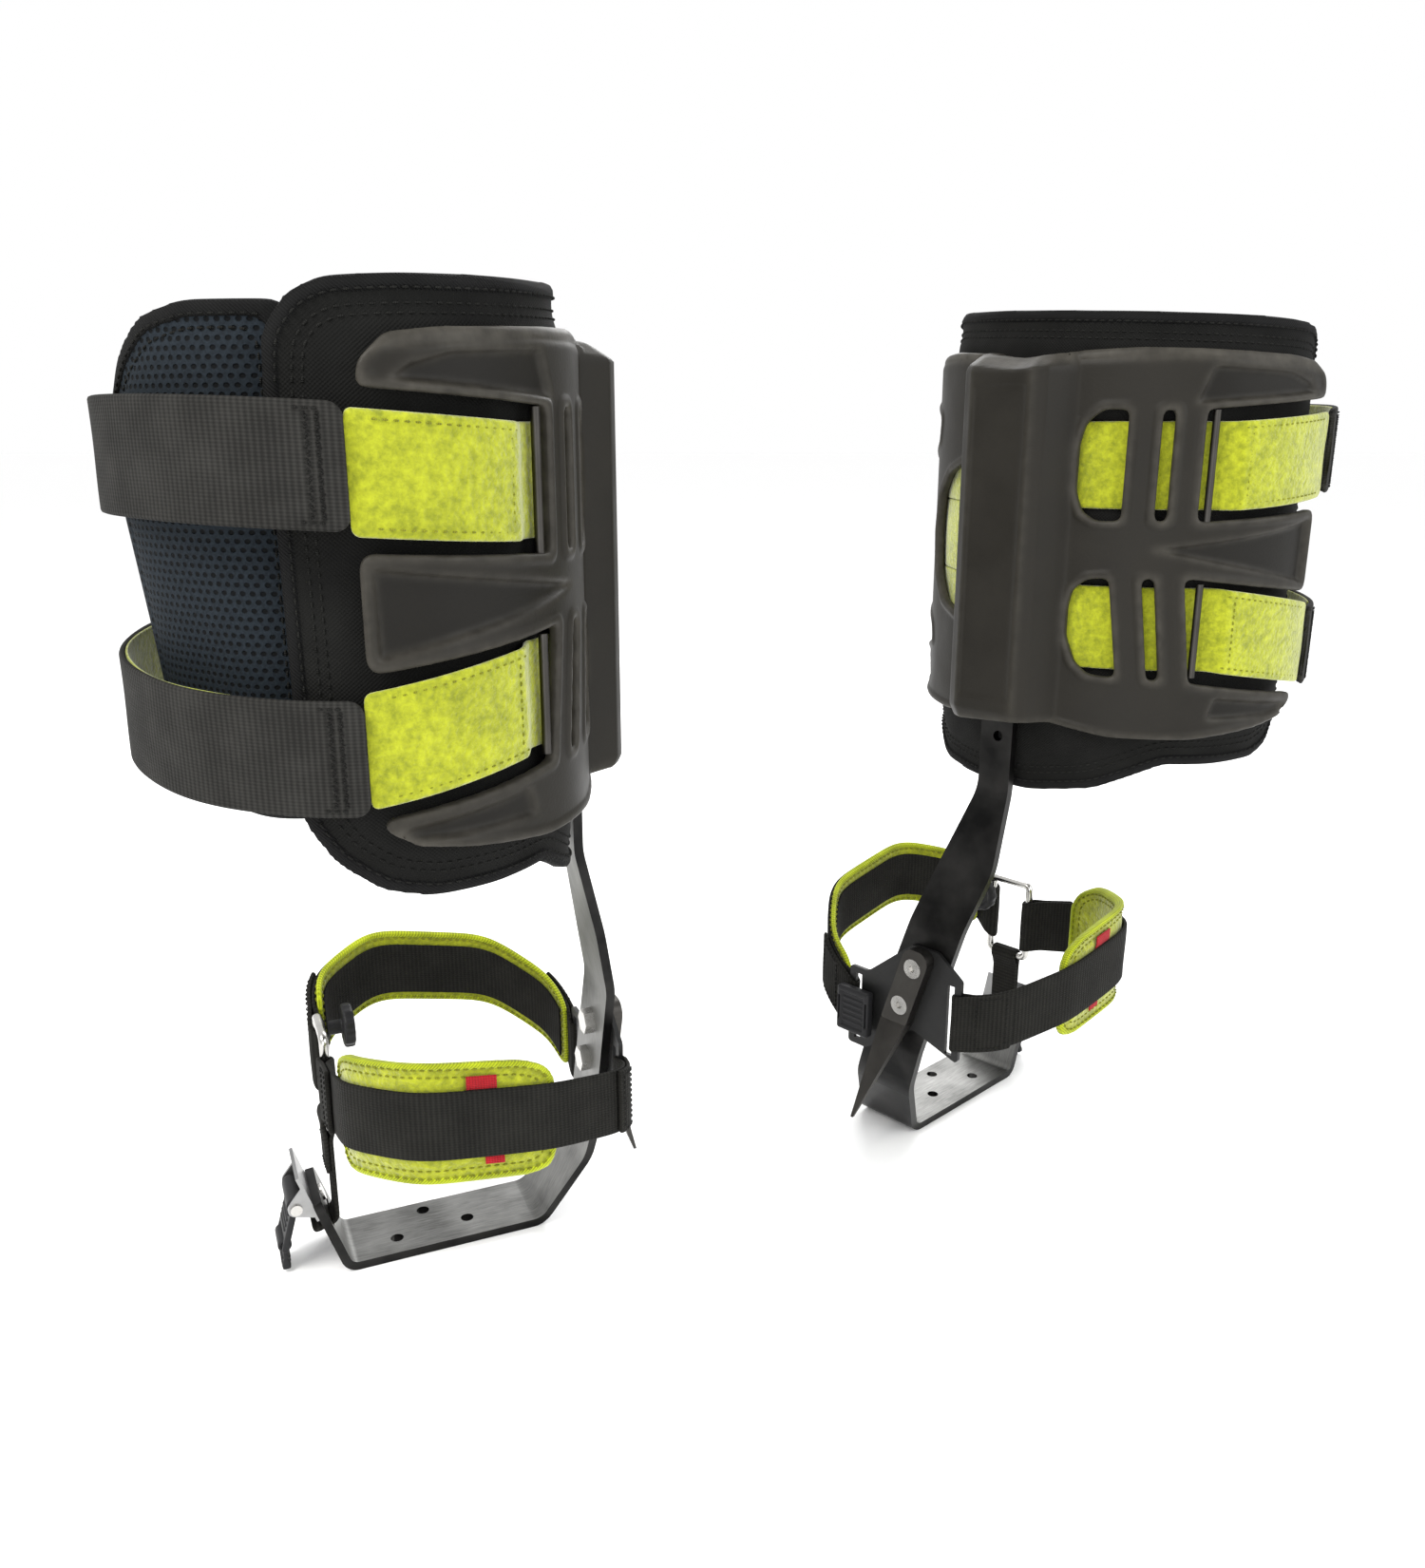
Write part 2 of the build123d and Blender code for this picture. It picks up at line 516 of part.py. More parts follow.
def pull_tab():
    x, z = lever_end()
    strip = Rectangle(TAB_T, TAB_LEN - TAB_EYE_R + 1, align=(Align.CENTER, Align.MIN))
    profile = Pos(x, z - TAB_LEN) * strip + Pos(x, z) * Circle(TAB_EYE_R)
    profile -= Pos(x, z) * Circle(LEVER_T / 2 + PIN_CLEAR)
    return extrude(Plane.XZ * profile, TAB_W / 2, both=True)


# ---- cuff ----

def wedge(start, end, x=CUFF_X, a=PAD_A, b=PAD_B):
    """Plan sector about the cuff axis between two ellipse angles."""
    steps = max(2, int(abs(end - start) / 30) + 2)
    points = [(x, CUFF_Y)]
    for i in range(steps):
        t = radians(start + (end - start) * i / (steps - 1))
        points.append((x + 3 * a * cos(t), CUFF_Y + 3 * b * sin(t)))
    return make_face(Polyline(*points, close=True))


def elliptic_wall(a, b, thickness, z_range, start, end, x=CUFF_X):
    """Part of an upright elliptic wall: a and b are its inner half widths."""
    ring = Ellipse(a + thickness, b + thickness) - Ellipse(a, b)
    plan = (Pos(x, CUFF_Y) * ring) & wedge(start, end, x)
    return extrude(Pos(0, 0, z_range[0]) * plan, z_range[1] - z_range[0])


def cuff_point(angle, a, b):
    t = radians(angle)
    return (CUFF_X + a * cos(t), CUFF_Y + b * sin(t))


def strap_slab(z, tilt=0.0, height=STRAP_W):
    """The level or tilted space of a calf strap, level with z at its window."""
    return sloped_slab((EXIT_X, CUFF_Y, z), tilt, 0, height)


def window(start, end, z, height):
    return elliptic_wall(SHELL_A - 2, SHELL_B - 2, SHELL_T + 4, (z - height / 2, z + height / 2), start, end)


def cuff_shell():
    shell = elliptic_wall(SHELL_A, SHELL_B, SHELL_T, SHELL_Z, -SHELL_END, SHELL_END)
    core = Pos(CUFF_X, CUFF_Y) * extrude(Ellipse(SHELL_A, SHELL_B), 2 * REACH)
    depth = SPINE_X - NECK_X + 8
    spine = Pos(SPINE_X - depth / 2, NECK_Y, sum(SPINE_Z) / 2) * Box(depth, SPINE_W, SPINE_Z[1] - SPINE_Z[0])
    spine = chamfer(spine.edges().filter_by(Axis.Z).group_by(Axis.X)[-1], 5)
    shell += spine - core
    channel = Pos(SPINE_X - SPINE_T - depth, NECK_Y, REACH / 2) * Box(2 * depth, SPINE_W - 2 * SPINE_T, 2 * REACH)
    shell -= channel
    stops = [WINDOW_FROM] + [edge for bar in BARS for edge in reversed(bar)] + [STRAP_EXIT - 3]
    for start, end in zip(stops[0::2], stops[1::2]):
        shell -= window(end, start, UPPER_Z, WINDOW_H)
        shell -= window(end, start, LOWER_Z, LOWER_WINDOW_H)
    tips = elliptic_wall(SHELL_A - 2, SHELL_B - 2, SHELL_T + 4, SHELL_Z, -SHELL_END - 3, STRAP_EXIT - 1)
    shell -= tips & strap_slab(UPPER_Z, UPPER_TILT, GAP_H)
    shell -= tips & strap_slab(LOWER_Z, LOWER_TILT, GAP_H)
    x, y = cuff_point(LENS_AT, SHELL_A, SHELL_B)
    facing = Plane(origin=(x, y, (UPPER_Z + LOWER_Z) / 2), x_dir=(0, 0, 1), z_dir=(x - CUFF_X, y - CUFF_Y, 0))
    shell -= extrude(facing * Ellipse(LENS_SIZE[1], LENS_SIZE[0]), 30, both=True)
    for z in (UPPER_Z + STRAP_W / 2 - NOTCH_H / 2 + 1, LOWER_Z - STRAP_W / 2 + NOTCH_H / 2 - 1):
        shell -= window(NOTCH_FROM, SHELL_END + 3, z, NOTCH_H)
    middle = (LOWER_Z - STRAP_W / 2, UPPER_Z + STRAP_W / 2)
    shell -= elliptic_wall(SHELL_A - 2, SHELL_B - 2, SHELL_T + 4, middle, MID_BAND_END, SHELL_END + 3)
    return shell


def clamp_block():
    """Threaded block between the shank and the spine, held by the two height screws."""
    face = NECK_X + BAR_T / 2 + SLIDE_CLEAR
    back = SPINE_X - SPINE_T
    size = (back - face, NECK_W, BLOCK_Z[1] - BLOCK_Z[0])
    block = Pos((face + back) / 2, NECK_Y, sum(BLOCK_Z) / 2) * Box(*size)
    for z in SCREW_Z:
        block -= x_cylinder(SCREW_R, face - 1, back - 2, NECK_Y, z)
    return block


def height_screws():
    screws = []
    seat = NECK_X - BAR_T / 2 - SLIDE_CLEAR
    for z in SCREW_Z:
        shaft = x_cylinder(SCREW_R, seat - 0.5, SPINE_X - SPINE_T - 2, NECK_Y, z)
        head = x_cylinder(SCREW_HEAD_R, seat - SCREW_HEAD_H, seat, NECK_Y, z)
        screws.append(shaft + head)
    return Compound(screws)


def calf_pad():
    wall = elliptic_wall(PAD_A - PAD_T, PAD_B - PAD_T, PAD_T, (0, REACH + 50), -PAD_END, PAD_END)
    return wall & extrude(Plane.XZ * make_face(Polyline(*PAD_OUTLINE, close=True)), REACH, both=True)


def tongue():
    return elliptic_wall(TONGUE_A - TONGUE_T, TONGUE_B - TONGUE_T, TONGUE_T, TONGUE_Z,
                         TONGUE_FROM, 360 - TONGUE_FROM, TONGUE_X)


def base_strap(z, tilt):
    """Strap that lies between pad and shell, comes out at the window and lies back over itself."""
    a, b = PAD_A + STRAP_GAP, PAD_B + STRAP_GAP
    tall = (z - STRAP_W, z + STRAP_W)
    inside = elliptic_wall(a, b, STRAP_T, tall, STRAP_EXIT, BASE_END) & strap_slab(z)
    through = elliptic_wall(a, b, OUTER_B + STRAP_T - b, tall, STRAP_EXIT, STRAP_EXIT + 1.5)
    outer_edge = extrude(Pos(CUFF_X, CUFF_Y) * Ellipse(OUTER_A + STRAP_T, OUTER_B + STRAP_T), REACH)
    outside = elliptic_wall(OUTER_A, OUTER_B, STRAP_T, tall, TAB_END - 5, STRAP_EXIT + 0.5)
    return inside + ((through & outer_edge) & strap_slab(z)) + (outside & strap_slab(z, tilt))


def closing_strap(slab, base_z):
    """Strap that closes the cuff round the outer side and grips the base strap."""
    wall = elliptic_wall(CLOSE_A, CLOSE_B, CLOSE_T, (200, REACH), BASE_END, 360 + TAB_END) & slab
    a, b = PAD_A + STRAP_GAP + STRAP_T, PAD_B + STRAP_GAP + STRAP_T
    join = elliptic_wall(a, b, CLOSE_B + CLOSE_T - b, (200, REACH), BASE_END - 2, BASE_END)
    edge = extrude(Pos(CUFF_X, CUFF_Y) * Ellipse(CLOSE_A + CLOSE_T, CLOSE_B + CLOSE_T), REACH)
    return wall + (join & edge & strap_slab(base_z))


def upper_closing_strap():
    return closing_strap(sloped_slab((CUFF_X, CUFF_Y, UPPER_Z + 3), -0.06, -0.02, STRAP_W), UPPER_Z)


def lower_closing_strap():
    return closing_strap(sloped_slab((CUFF_X, CUFF_Y, LOWER_Z - 5.5), 0, 0.06, STRAP_W), LOWER_Z)


def strap_rods():
    rods = []
    x, y = cuff_point(ROD_AT, SHELL_A + SHELL_T / 2, SHELL_B + SHELL_T / 2)
    for z, height in ((UPPER_Z, WINDOW_H), (LOWER_Z, LOWER_WINDOW_H)):
        rods.append(Pos(x, y, z) * Cylinder(ROD_R, height))
    return Compound(rods)


def spur():
    """Every piece of one spur by name."""
    return {
        "stirrup_shank": stirrup_shank(), "gaff": gaff(), "gaff_screws": gaff_screws(),
        "gaff_nuts": gaff_nuts(), "strap_bracket": strap_bracket(), "heel_strap": heel_strap(),
        "heel_pad": heel_pad(), "heel_label": heel_label(), "instep_strap": instep_strap(),
        "instep_lining": instep_lining(), "instep_block": instep_block(), "ankle_ring": ankle_ring(),
        "ankle_stud": ankle_stud(), "side_strap": side_strap(), "buckle_frame": buckle_frame(),
        "buckle_rivet": buckle_rivet(), "buckle_pin": buckle_pin(), "buckle_lever": buckle_lever(),
        "pull_tab": pull_tab(), "cuff_shell": cuff_shell(), "clamp_block": clamp_block(),
        "height_screws": height_screws(), "calf_pad": calf_pad(), "tongue": tongue(),
        "upper_base_strap": base_strap(UPPER_Z, UPPER_TILT),
        "lower_base_strap": base_strap(LOWER_Z, LOWER_TILT),
        "upper_closing_strap": upper_closing_strap(), "lower_closing_strap": lower_closing_strap(),
        "strap_rods": strap_rods(),
    }


def main():
    os.makedirs("parts", exist_ok=True)
    left = Pos(-PAIR_SPREAD / 2, -PAIR_STAGGER / 2, 0) * Rot(0, 0, LEFT_YAW)
    right = Pos(PAIR_SPREAD / 2, PAIR_STAGGER / 2, 0) * Rot(0, 0, RIGHT_YAW)
    nodes = {}
    for name, shape in spur().items():
        nodes["left_" + name] = left * shape
        nodes["right_" + name] = right * mirror(shape, about=Plane.YZ)
    box = Compound([solid for shape in nodes.values() for solid in shape.solids()]).bounding_box()
    to_origin = Pos(-box.center().X, -box.center().Y, -box.min.Z)
    for name, shape in nodes.items():
        export_step(to_origin * shape, f"parts/{name}.step")
    print("origin shift", to_origin.position)


main()
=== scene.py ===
import json
import math

import bpy
import numpy as np
from mathutils import Matrix, Vector


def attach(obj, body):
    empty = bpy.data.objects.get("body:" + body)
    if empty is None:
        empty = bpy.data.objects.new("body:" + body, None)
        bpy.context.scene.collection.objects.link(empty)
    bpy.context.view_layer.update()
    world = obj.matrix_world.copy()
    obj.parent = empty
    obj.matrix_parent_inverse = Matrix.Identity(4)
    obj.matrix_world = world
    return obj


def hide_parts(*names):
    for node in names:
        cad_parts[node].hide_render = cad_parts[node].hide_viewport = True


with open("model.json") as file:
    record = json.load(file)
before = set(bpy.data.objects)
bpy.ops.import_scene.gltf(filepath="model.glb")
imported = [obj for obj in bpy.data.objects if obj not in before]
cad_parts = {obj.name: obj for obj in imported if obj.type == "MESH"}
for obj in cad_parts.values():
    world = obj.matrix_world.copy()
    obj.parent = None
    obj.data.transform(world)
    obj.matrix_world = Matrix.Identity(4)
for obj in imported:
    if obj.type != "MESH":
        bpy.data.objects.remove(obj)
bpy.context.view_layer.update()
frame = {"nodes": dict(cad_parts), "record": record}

MM = 0.001
SIDES = ("left", "right")
HOLES = {1: (-7.0, 11.0), 3: (-22.5, -6.5)}  # two sole holes in a spur's own frame, mm


def spur_matrix(side):
    """A spur's own frame (mm, +X to the shank, +Y to the toes) to the row frame (metres)."""
    mounts = {m["name"]: Vector(m["pos_m"]) for m in frame["record"]["mounts"]}
    a, b = (mounts[f"{side}_sole_hole_{n}"] for n in HOLES)
    flip = 1 if side == "left" else -1
    la, lb = (Vector((x * flip, y, 0)) for x, y in HOLES.values())
    yaw = math.atan2(b.y - a.y, b.x - a.x) - math.atan2(lb.y - la.y, lb.x - la.x)
    turn = Matrix.Rotation(yaw, 4, "Z")
    origin = a - (turn @ la) * MM
    origin.z = 0
    return Matrix.Translation(origin) @ turn @ Matrix.Diagonal((flip * MM, MM, MM, 1))


SPUR = {side: spur_matrix(side) for side in SIDES}
SOLE = {side: SPUR[side] @ Vector((0, 0, 0)) for side in SIDES}

# ---- camera, light, floor

LENS = 29.7  # mm, on a 36 mm sensor
EYE = Vector((-0.00065, -0.60985, 0.3754))  # from the middle between the two soles, metres
LOOK_DOWN = 15.72  # degrees below level
LAMPS = (  # name, place from the same middle, size, watts, colour
    ("key", (-0.9, -0.9, 1.5), 0.9, 26, (1, 0.985, 0.96)),
    ("fill", (1.2, -0.7, 0.9), 1.1, 11, (0.96, 0.98, 1)),
    ("rim", (0.4, 1.3, 1.3), 1.0, 20, (1, 1, 1)),
    ("low", (-0.1, -1.3, 0.25), 0.8, 4, (1, 1, 1)),
)


def setup_stage():
    scene = bpy.context.scene
    mid = (SOLE["left"] + SOLE["right"]) / 2
    cam = bpy.data.cameras.new("camera")
    cam.sensor_width = 36
    cam.lens = LENS
    cam.clip_end = 20
    eye = bpy.data.objects.new("camera", cam)
    eye.location = mid + EYE
    eye.rotation_euler = (math.radians(90 - LOOK_DOWN), 0, 0)
    scene.collection.objects.link(eye)
    scene.camera = eye
    for name, place, size, power, colour in LAMPS:
        lamp = bpy.data.lights.new(name, "AREA")
        lamp.shape = "SQUARE"
        lamp.size = size
        lamp.energy = power
        lamp.color = colour
        obj = bpy.data.objects.new(name, lamp)
        obj.location = mid + Vector(place)
        aim = mid + Vector((0, 0, 0.2)) - obj.location
        obj.rotation_euler = aim.to_track_quat("-Z", "Y").to_euler()
        scene.collection.objects.link(obj)
    world = bpy.data.worlds.new("studio")
    scene.world = world
    world.use_nodes = True
    sky = world.node_tree.nodes["Background"].inputs
    sky["Color"].default_value = (1, 1, 1, 1)
    sky["Strength"].default_value = 1.0
    bpy.ops.mesh.primitive_plane_add(size=30, location=(0, 0, -0.0002))
    floor = bpy.context.object
    floor.name = "floor"
    mat = bpy.data.materials.new("floor")
    mat.use_nodes = True
    shader = mat.node_tree.nodes["Principled BSDF"].inputs
    shader["Base Color"].default_value = (0.995, 0.995, 0.995, 1)
    shader["Roughness"].default_value = 0.75
    floor.data.materials.append(mat)
    scene.view_settings.view_transform = "Standard"
    scene.view_settings.look = "None"


setup_stage()

# ---- materials


class Nodes:
    """Small helper for wiring a material."""

    def __init__(self, name, base, rough, metallic=0.0, sheen=0.0, specular=0.5):
        self.mat = bpy.data.materials.new(name)
        self.mat.use_nodes = True
        self.tree = self.mat.node_tree
        self.bsdf = self.tree.nodes["Principled BSDF"]
        self.set(self.bsdf, "Base Color", (*base, 1))
        self.set(self.bsdf, "Roughness", rough)
        self.set(self.bsdf, "Metallic", metallic)
        self.set(self.bsdf, "Specular IOR Level", specular)
        self.set(self.bsdf, "Sheen Weight", sheen)
        self.set(self.bsdf, "Sheen Roughness", 0.5)
        self.base = base

    def set(self, node, socket, value):
        node.inputs[socket].default_value = value

    def add(self, kind, **sockets):
        node = self.tree.nodes.new(kind)
        for key, value in sockets.items():
            self.put(node, key.replace("_", " ") if key.replace("_", " ") in node.inputs else key, value)
        return node

    def put(self, node, socket, value):
        if isinstance(value, bpy.types.NodeSocket):
            self.tree.links.new(value, node.inputs[socket])
        else:
            node.inputs[socket].default_value = value

    def coords(self):
        return self.add("ShaderNodeTexCoord").outputs["Object"]

    def attribute(self, name, part=None):
        node = self.add("ShaderNodeAttribute")
        node.attribute_name = name
        if part is None:
            return node.outputs["Fac"]
        split = self.add("ShaderNodeSeparateXYZ", Vector=node.outputs["Vector"])
        return split.outputs[part]

    def math(self, op, a, b=0.0, clamp=False):
        node = self.add("ShaderNodeMath")
        node.operation = op
        node.use_clamp = clamp
        self.put(node, 0, a)
        self.put(node, 1, b)
        return node.outputs[0]

    def noise(self, scale, detail=3.0, vector=None, rough=0.5):
        node = self.add("ShaderNodeTexNoise", Vector=vector or self.coords(), Scale=scale, Detail=detail,
                        Roughness=rough)
        return node.outputs["Fac"]

    def ramp(self, value, low, high, out_low=0.0, out_high=1.0):
        node = self.add("ShaderNodeMapRange")
        self.put(node, "Value", value)
        self.put(node, "From Min", low)
        self.put(node, "From Max", high)
        self.put(node, "To Min", out_low)
        self.put(node, "To Max", out_high)
        return node.outputs["Result"]

    def mix(self, factor, a, b):
        node = self.tree.nodes.new("ShaderNodeMix")
        node.data_type = "RGBA"
        self.put(node, 0, factor)
        for index, value in ((6, a), (7, b)):
            self.put(node, index, value if isinstance(value, bpy.types.NodeSocket) else (*value, 1))
        return node.outputs[2]

    def times(self, a, b):
        return self.math("MULTIPLY", a, b)

    def plus(self, a, b):
        return self.math("ADD", a, b)

    def tones(self, factor, low, high):
        """From the base colour times low to the base colour times high."""
        return self.mix(factor, *(tuple(min(1, c * k) for c in self.base) for k in (low, high)))

    def colour(self, value):
        self.tree.links.new(value, self.bsdf.inputs["Base Color"])

    def rough(self, value):
        self.tree.links.new(value, self.bsdf.inputs["Roughness"])

    def bump(self, height, distance, strength=1.0):
        last = self.bsdf.inputs["Normal"].links
        node = self.add("ShaderNodeBump", Height=height, Distance=distance, Strength=strength)
        if last:
            self.tree.links.new(last[0].from_socket, node.inputs["Normal"])
        self.tree.links.new(node.outputs["Normal"], self.bsdf.inputs["Normal"])


def moulded(name, base, rough, grain=900.0, depth=0.00012, edge=None):
    """Moulded plastic: fine spark-eroded grain, slight patches in gloss; with edge, a painted highlight on
    the edges and painted shade in the sunk panels.
    """
    n = Nodes(name, base, rough, specular=0.14)
    patches = n.noise(38.0, 4.0)
    tone = n.tones(n.ramp(patches, 0.3, 0.75), 0.86, 1.16)
    if edge:
        # painted highlight: the edge attribute, broken up by noise, pales the edges towards the edge colour
        edge_highlight = n.times(n.attribute("edge"), n.ramp(n.noise(160.0, 4.0), 0.3, 0.7, 0.35, 1.0))
        # painted shade: the sunk panels, given in the first cloth channel, are darkened towards a darker copy
        # of the base colour
        tone = n.mix(n.times(n.attribute("cloth", 0), 0.5), tone, tuple(c * 0.22 for c in base))
        tone = n.mix(edge_highlight, tone, edge)
    n.colour(tone)
    n.rough(n.ramp(patches, 0.3, 0.7, rough - 0.07, rough + 0.07))
    n.bump(n.noise(grain, 2.0), depth, 0.55)
    return n.mat


def metal(name, base, rough, brush=(500.0, 60.0, 500.0), metallic=1.0, depth=0.00004):
    """Metal with fine brushed lines, scratches and patches in the gloss."""
    n = Nodes(name, base, rough, metallic)
    scaled = n.add("ShaderNodeMapping", Vector=n.coords())
    scaled.inputs["Scale"].default_value = brush
    lines = n.noise(2.4, 4.0, scaled.outputs["Vector"])
    patches = n.noise(55.0, 4.0)
    n.colour(n.tones(n.ramp(patches, 0.3, 0.7), 0.8, 1.15))
    n.rough(n.ramp(n.plus(n.times(lines, 0.6), n.times(patches, 0.4)), 0.3, 0.7, rough - 0.1, rough + 0.12))
    n.bump(lines, depth, 0.5)
    return n.mat


WARP = 1.1  # mm between warp threads
PLAIN_WEAVE = 1.3  # mm between threads of the pad's cover


def webbing(name, base, rib=2.0, sheen=0.0):
    """Woven webbing: ribs across the strap and finer warp threads along it."""
    n = Nodes(name, base, 0.78, sheen=sheen, specular=0.1)
    along = n.attribute("cloth", 0)
    across = n.attribute("cloth", 1)
    ribs = n.math("SINE", n.times(along, 2 * math.pi / rib))
    warp = n.math("SINE", n.times(across, 2 * math.pi / WARP))
    weave = n.plus(n.times(ribs, 0.62), n.times(warp, 0.38))
    fuzz = n.noise(1300.0, 3.0)
    n.bump(weave, 0.00022, 0.8)
    n.bump(fuzz, 0.00012, 0.5)
    lit = n.ramp(n.plus(n.times(weave, 0.35), n.noise(70.0, 4.0)), 0.2, 0.95)
    n.colour(n.tones(lit, 0.62, 1.6))
    return n.mat


def loop_pile(name, dark, light):
    """Looped pile: mottled tufts with a soft sheen."""
    n = Nodes(name, light, 0.88, sheen=0.5, specular=0.15)
    tufts = n.add("ShaderNodeTexVoronoi", Vector=n.coords(), Scale=620.0).outputs["Distance"]
    clumps = n.noise(330.0, 5.0, rough=0.65)
    patches = n.noise(60.0, 3.0)
    shade = n.ramp(n.plus(n.times(clumps, 0.8), n.times(patches, 0.3)), 0.38, 0.72)
    n.colour(n.mix(shade, dark, light))
    n.bump(clumps, 0.0011, 0.75)
    n.bump(tufts, 0.0004, 0.6)
    return n.mat


def woven(name, base):
    """Plain fine fabric over foam."""
    n = Nodes(name, base, 0.82, specular=0.1)
    warp, weft = (n.math("SINE", n.times(n.attribute("cloth", k), 2 * math.pi / PLAIN_WEAVE)) for k in (0, 1))
    n.colour(n.tones(n.ramp(n.noise(45.0, 4.0), 0.3, 0.75), 0.7, 1.45))
    n.bump(n.times(warp, weft), 0.00016, 0.7)
    n.bump(n.noise(620.0, 3.0), 0.00018, 0.5)
    return n.mat


def air_mesh(name, base, hole, pitch=3.1):
    """Spacer mesh: staggered rows of small dark holes in a knitted face."""
    n = Nodes(name, base, 0.78, specular=0.1)
    u = n.math("DIVIDE", n.attribute("cloth", 0), pitch)
    v = n.math("DIVIDE", n.attribute("cloth", 1), pitch * 0.866)
    row = n.math("FLOOR", v)
    shift = n.times(n.math("MODULO", row, 2.0), 0.5)
    fu = n.math("SUBTRACT", n.math("FRACT", n.plus(u, shift)), 0.5)
    fv = n.math("SUBTRACT", n.math("FRACT", v), 0.5)
    far = n.math("SQRT", n.plus(n.times(fu, fu), n.times(fv, fv)))
    solid = n.ramp(far, 0.2, 0.33)
    knit = n.noise(900.0, 3.0)
    n.colour(n.mix(solid, hole, n.tones(n.ramp(knit, 0.3, 0.7), 0.72, 1.35)))
    n.bump(solid, 0.0007, 0.9)
    n.bump(knit, 0.00015, 0.5)
    return n.mat


FOOT_X, FOOT_Z = 0.008, 0.045  # a point inside the stirrup, in the spur's own frame, metres


def bar_metal(side):
    """Bent flat bar: brushed pale face towards the foot, dark coat on its outer face and edges."""
    n = Nodes(f"bar_{side}", (0.5, 0.5, 0.5), 0.42, 1.0)
    place = SPUR[side]
    flip = -1 if side == "right" else 1
    yaw = math.atan2(place[1][0] * flip, place[0][0] * flip)
    # position in the spur's own turned frame (metres): subtract the origin, then undo the yaw
    shifted = n.add("ShaderNodeVectorMath")
    shifted.operation = "SUBTRACT"
    n.put(shifted, 0, n.coords())
    shifted.inputs[1].default_value = place.translation
    spin = n.add("ShaderNodeVectorRotate", Vector=shifted.outputs[0])
    spin.rotation_type = "Z_AXIS"
    spin.inputs["Angle"].default_value = -yaw
    pos = n.add("ShaderNodeSeparateXYZ", Vector=spin.outputs[0])
    normal = n.add("ShaderNodeVectorRotate", Vector=n.add("ShaderNodeNewGeometry").outputs["True Normal"])
    normal.rotation_type = "Z_AXIS"
    normal.inputs["Angle"].default_value = -yaw
    nrm = n.add("ShaderNodeSeparateXYZ", Vector=normal.outputs[0])
    to_x = n.math("SUBTRACT", FOOT_X * flip, pos.outputs["X"])
    to_z = n.math("MAXIMUM", n.math("SUBTRACT", FOOT_Z, pos.outputs["Z"]), 0.0)
    length = n.math("SQRT", n.plus(n.times(to_x, to_x), n.times(to_z, to_z)))
    dot = n.plus(n.times(to_x, nrm.outputs["X"]), n.times(to_z, nrm.outputs["Z"]))
    facing = n.ramp(n.math("DIVIDE", dot, n.math("MAXIMUM", length, 0.001)), 0.15, 0.3)
    scaled = n.add("ShaderNodeMapping", Vector=spin.outputs[0])
    scaled.inputs["Scale"].default_value = (60, 900, 60)
    lines = n.noise(2.2, 4.0, scaled.outputs["Vector"])
    patches = n.noise(45.0, 4.0)
    brushed = n.ramp(n.plus(n.times(lines, 0.5), n.times(patches, 0.6)), 0.35, 0.75)
    pale = n.mix(brushed, (0.085, 0.085, 0.082), (0.25, 0.25, 0.242))
    dark = n.mix(n.ramp(patches, 0.35, 0.7), (0.012, 0.012, 0.012), (0.035, 0.034, 0.033))
    n.colour(n.mix(facing, dark, pale))
    n.rough(n.ramp(facing, 0.0, 1.0, 0.36, 0.46))
    n.bump(lines, 0.00004, 0.5)
    return n.mat


M = {
    # the shell's edge colour is a painted highlight on its edges
    "shell": moulded("shell_plastic", (0.0135, 0.0121, 0.0096), 0.5, edge=(0.050, 0.046, 0.038)),
    "black_plastic": moulded("black_plastic", (0.016, 0.016, 0.017), 0.42, grain=1200.0, depth=0.00008),
    "lime": loop_pile("lime_loop", (0.165, 0.19, 0.0045), (0.375, 0.405, 0.0105)),
    "lime_edge": webbing("lime_edge", (0.31, 0.36, 0.011), rib=1.4, sheen=0.15),
    "webbing": webbing("black_webbing", (0.019, 0.0185, 0.017)),
    "webbing_foot": webbing("foot_webbing", (0.0105, 0.0102, 0.0088)),
    "pad": woven("pad_cover", (0.0065, 0.0065, 0.006)),
    "binding": webbing("pad_binding", (0.0055, 0.0055, 0.0055), rib=1.2),
    "mesh": air_mesh("air_mesh", (0.0105, 0.0145, 0.019), (0.002, 0.0025, 0.003)),
    "thread": webbing("thread_black", (0.012, 0.012, 0.011), rib=0.6),
    "thread_lime": webbing("thread_lime", (0.18, 0.19, 0.008), rib=0.6, sheen=0.1),
    "label": webbing("label_red", (0.30, 0.007, 0.012), rib=0.8, sheen=0.1),
    "bright": metal("steel_bright", (0.5, 0.49, 0.47), 0.24, brush=(90.0, 40.0, 90.0), depth=0.00001),
    "grey": metal("steel_grey", (0.3, 0.3, 0.3), 0.36, brush=(200.0, 40.0, 200.0), depth=0.00002),
    "dark_steel": metal("steel_dark", (0.055, 0.052, 0.048), 0.4),
    "black_coat": metal("coat_black", (0.018, 0.018, 0.018), 0.42, metallic=0.6),
    "block": metal("aluminium_block", (0.5, 0.5, 0.5), 0.4),
    "bar_left": bar_metal("left"),
    "bar_right": bar_metal("right"),
}

CAD_LOOK = {
    # the strap rods take the dark steel look as painted shade, so that they stay dark in the shell's windows
    "dark_steel": ("gaff", "strap_rods"),
    "black_coat": ("strap_bracket",),
    "grey": ("buckle_frame",),
    "block": ("clamp_block",),
    "bright": ("gaff_screws", "gaff_nuts", "ankle_ring", "buckle_rivet", "buckle_pin", "height_screws"),
    "black_plastic": ("ankle_stud", "buckle_lever", "pull_tab", "instep_block"),
}


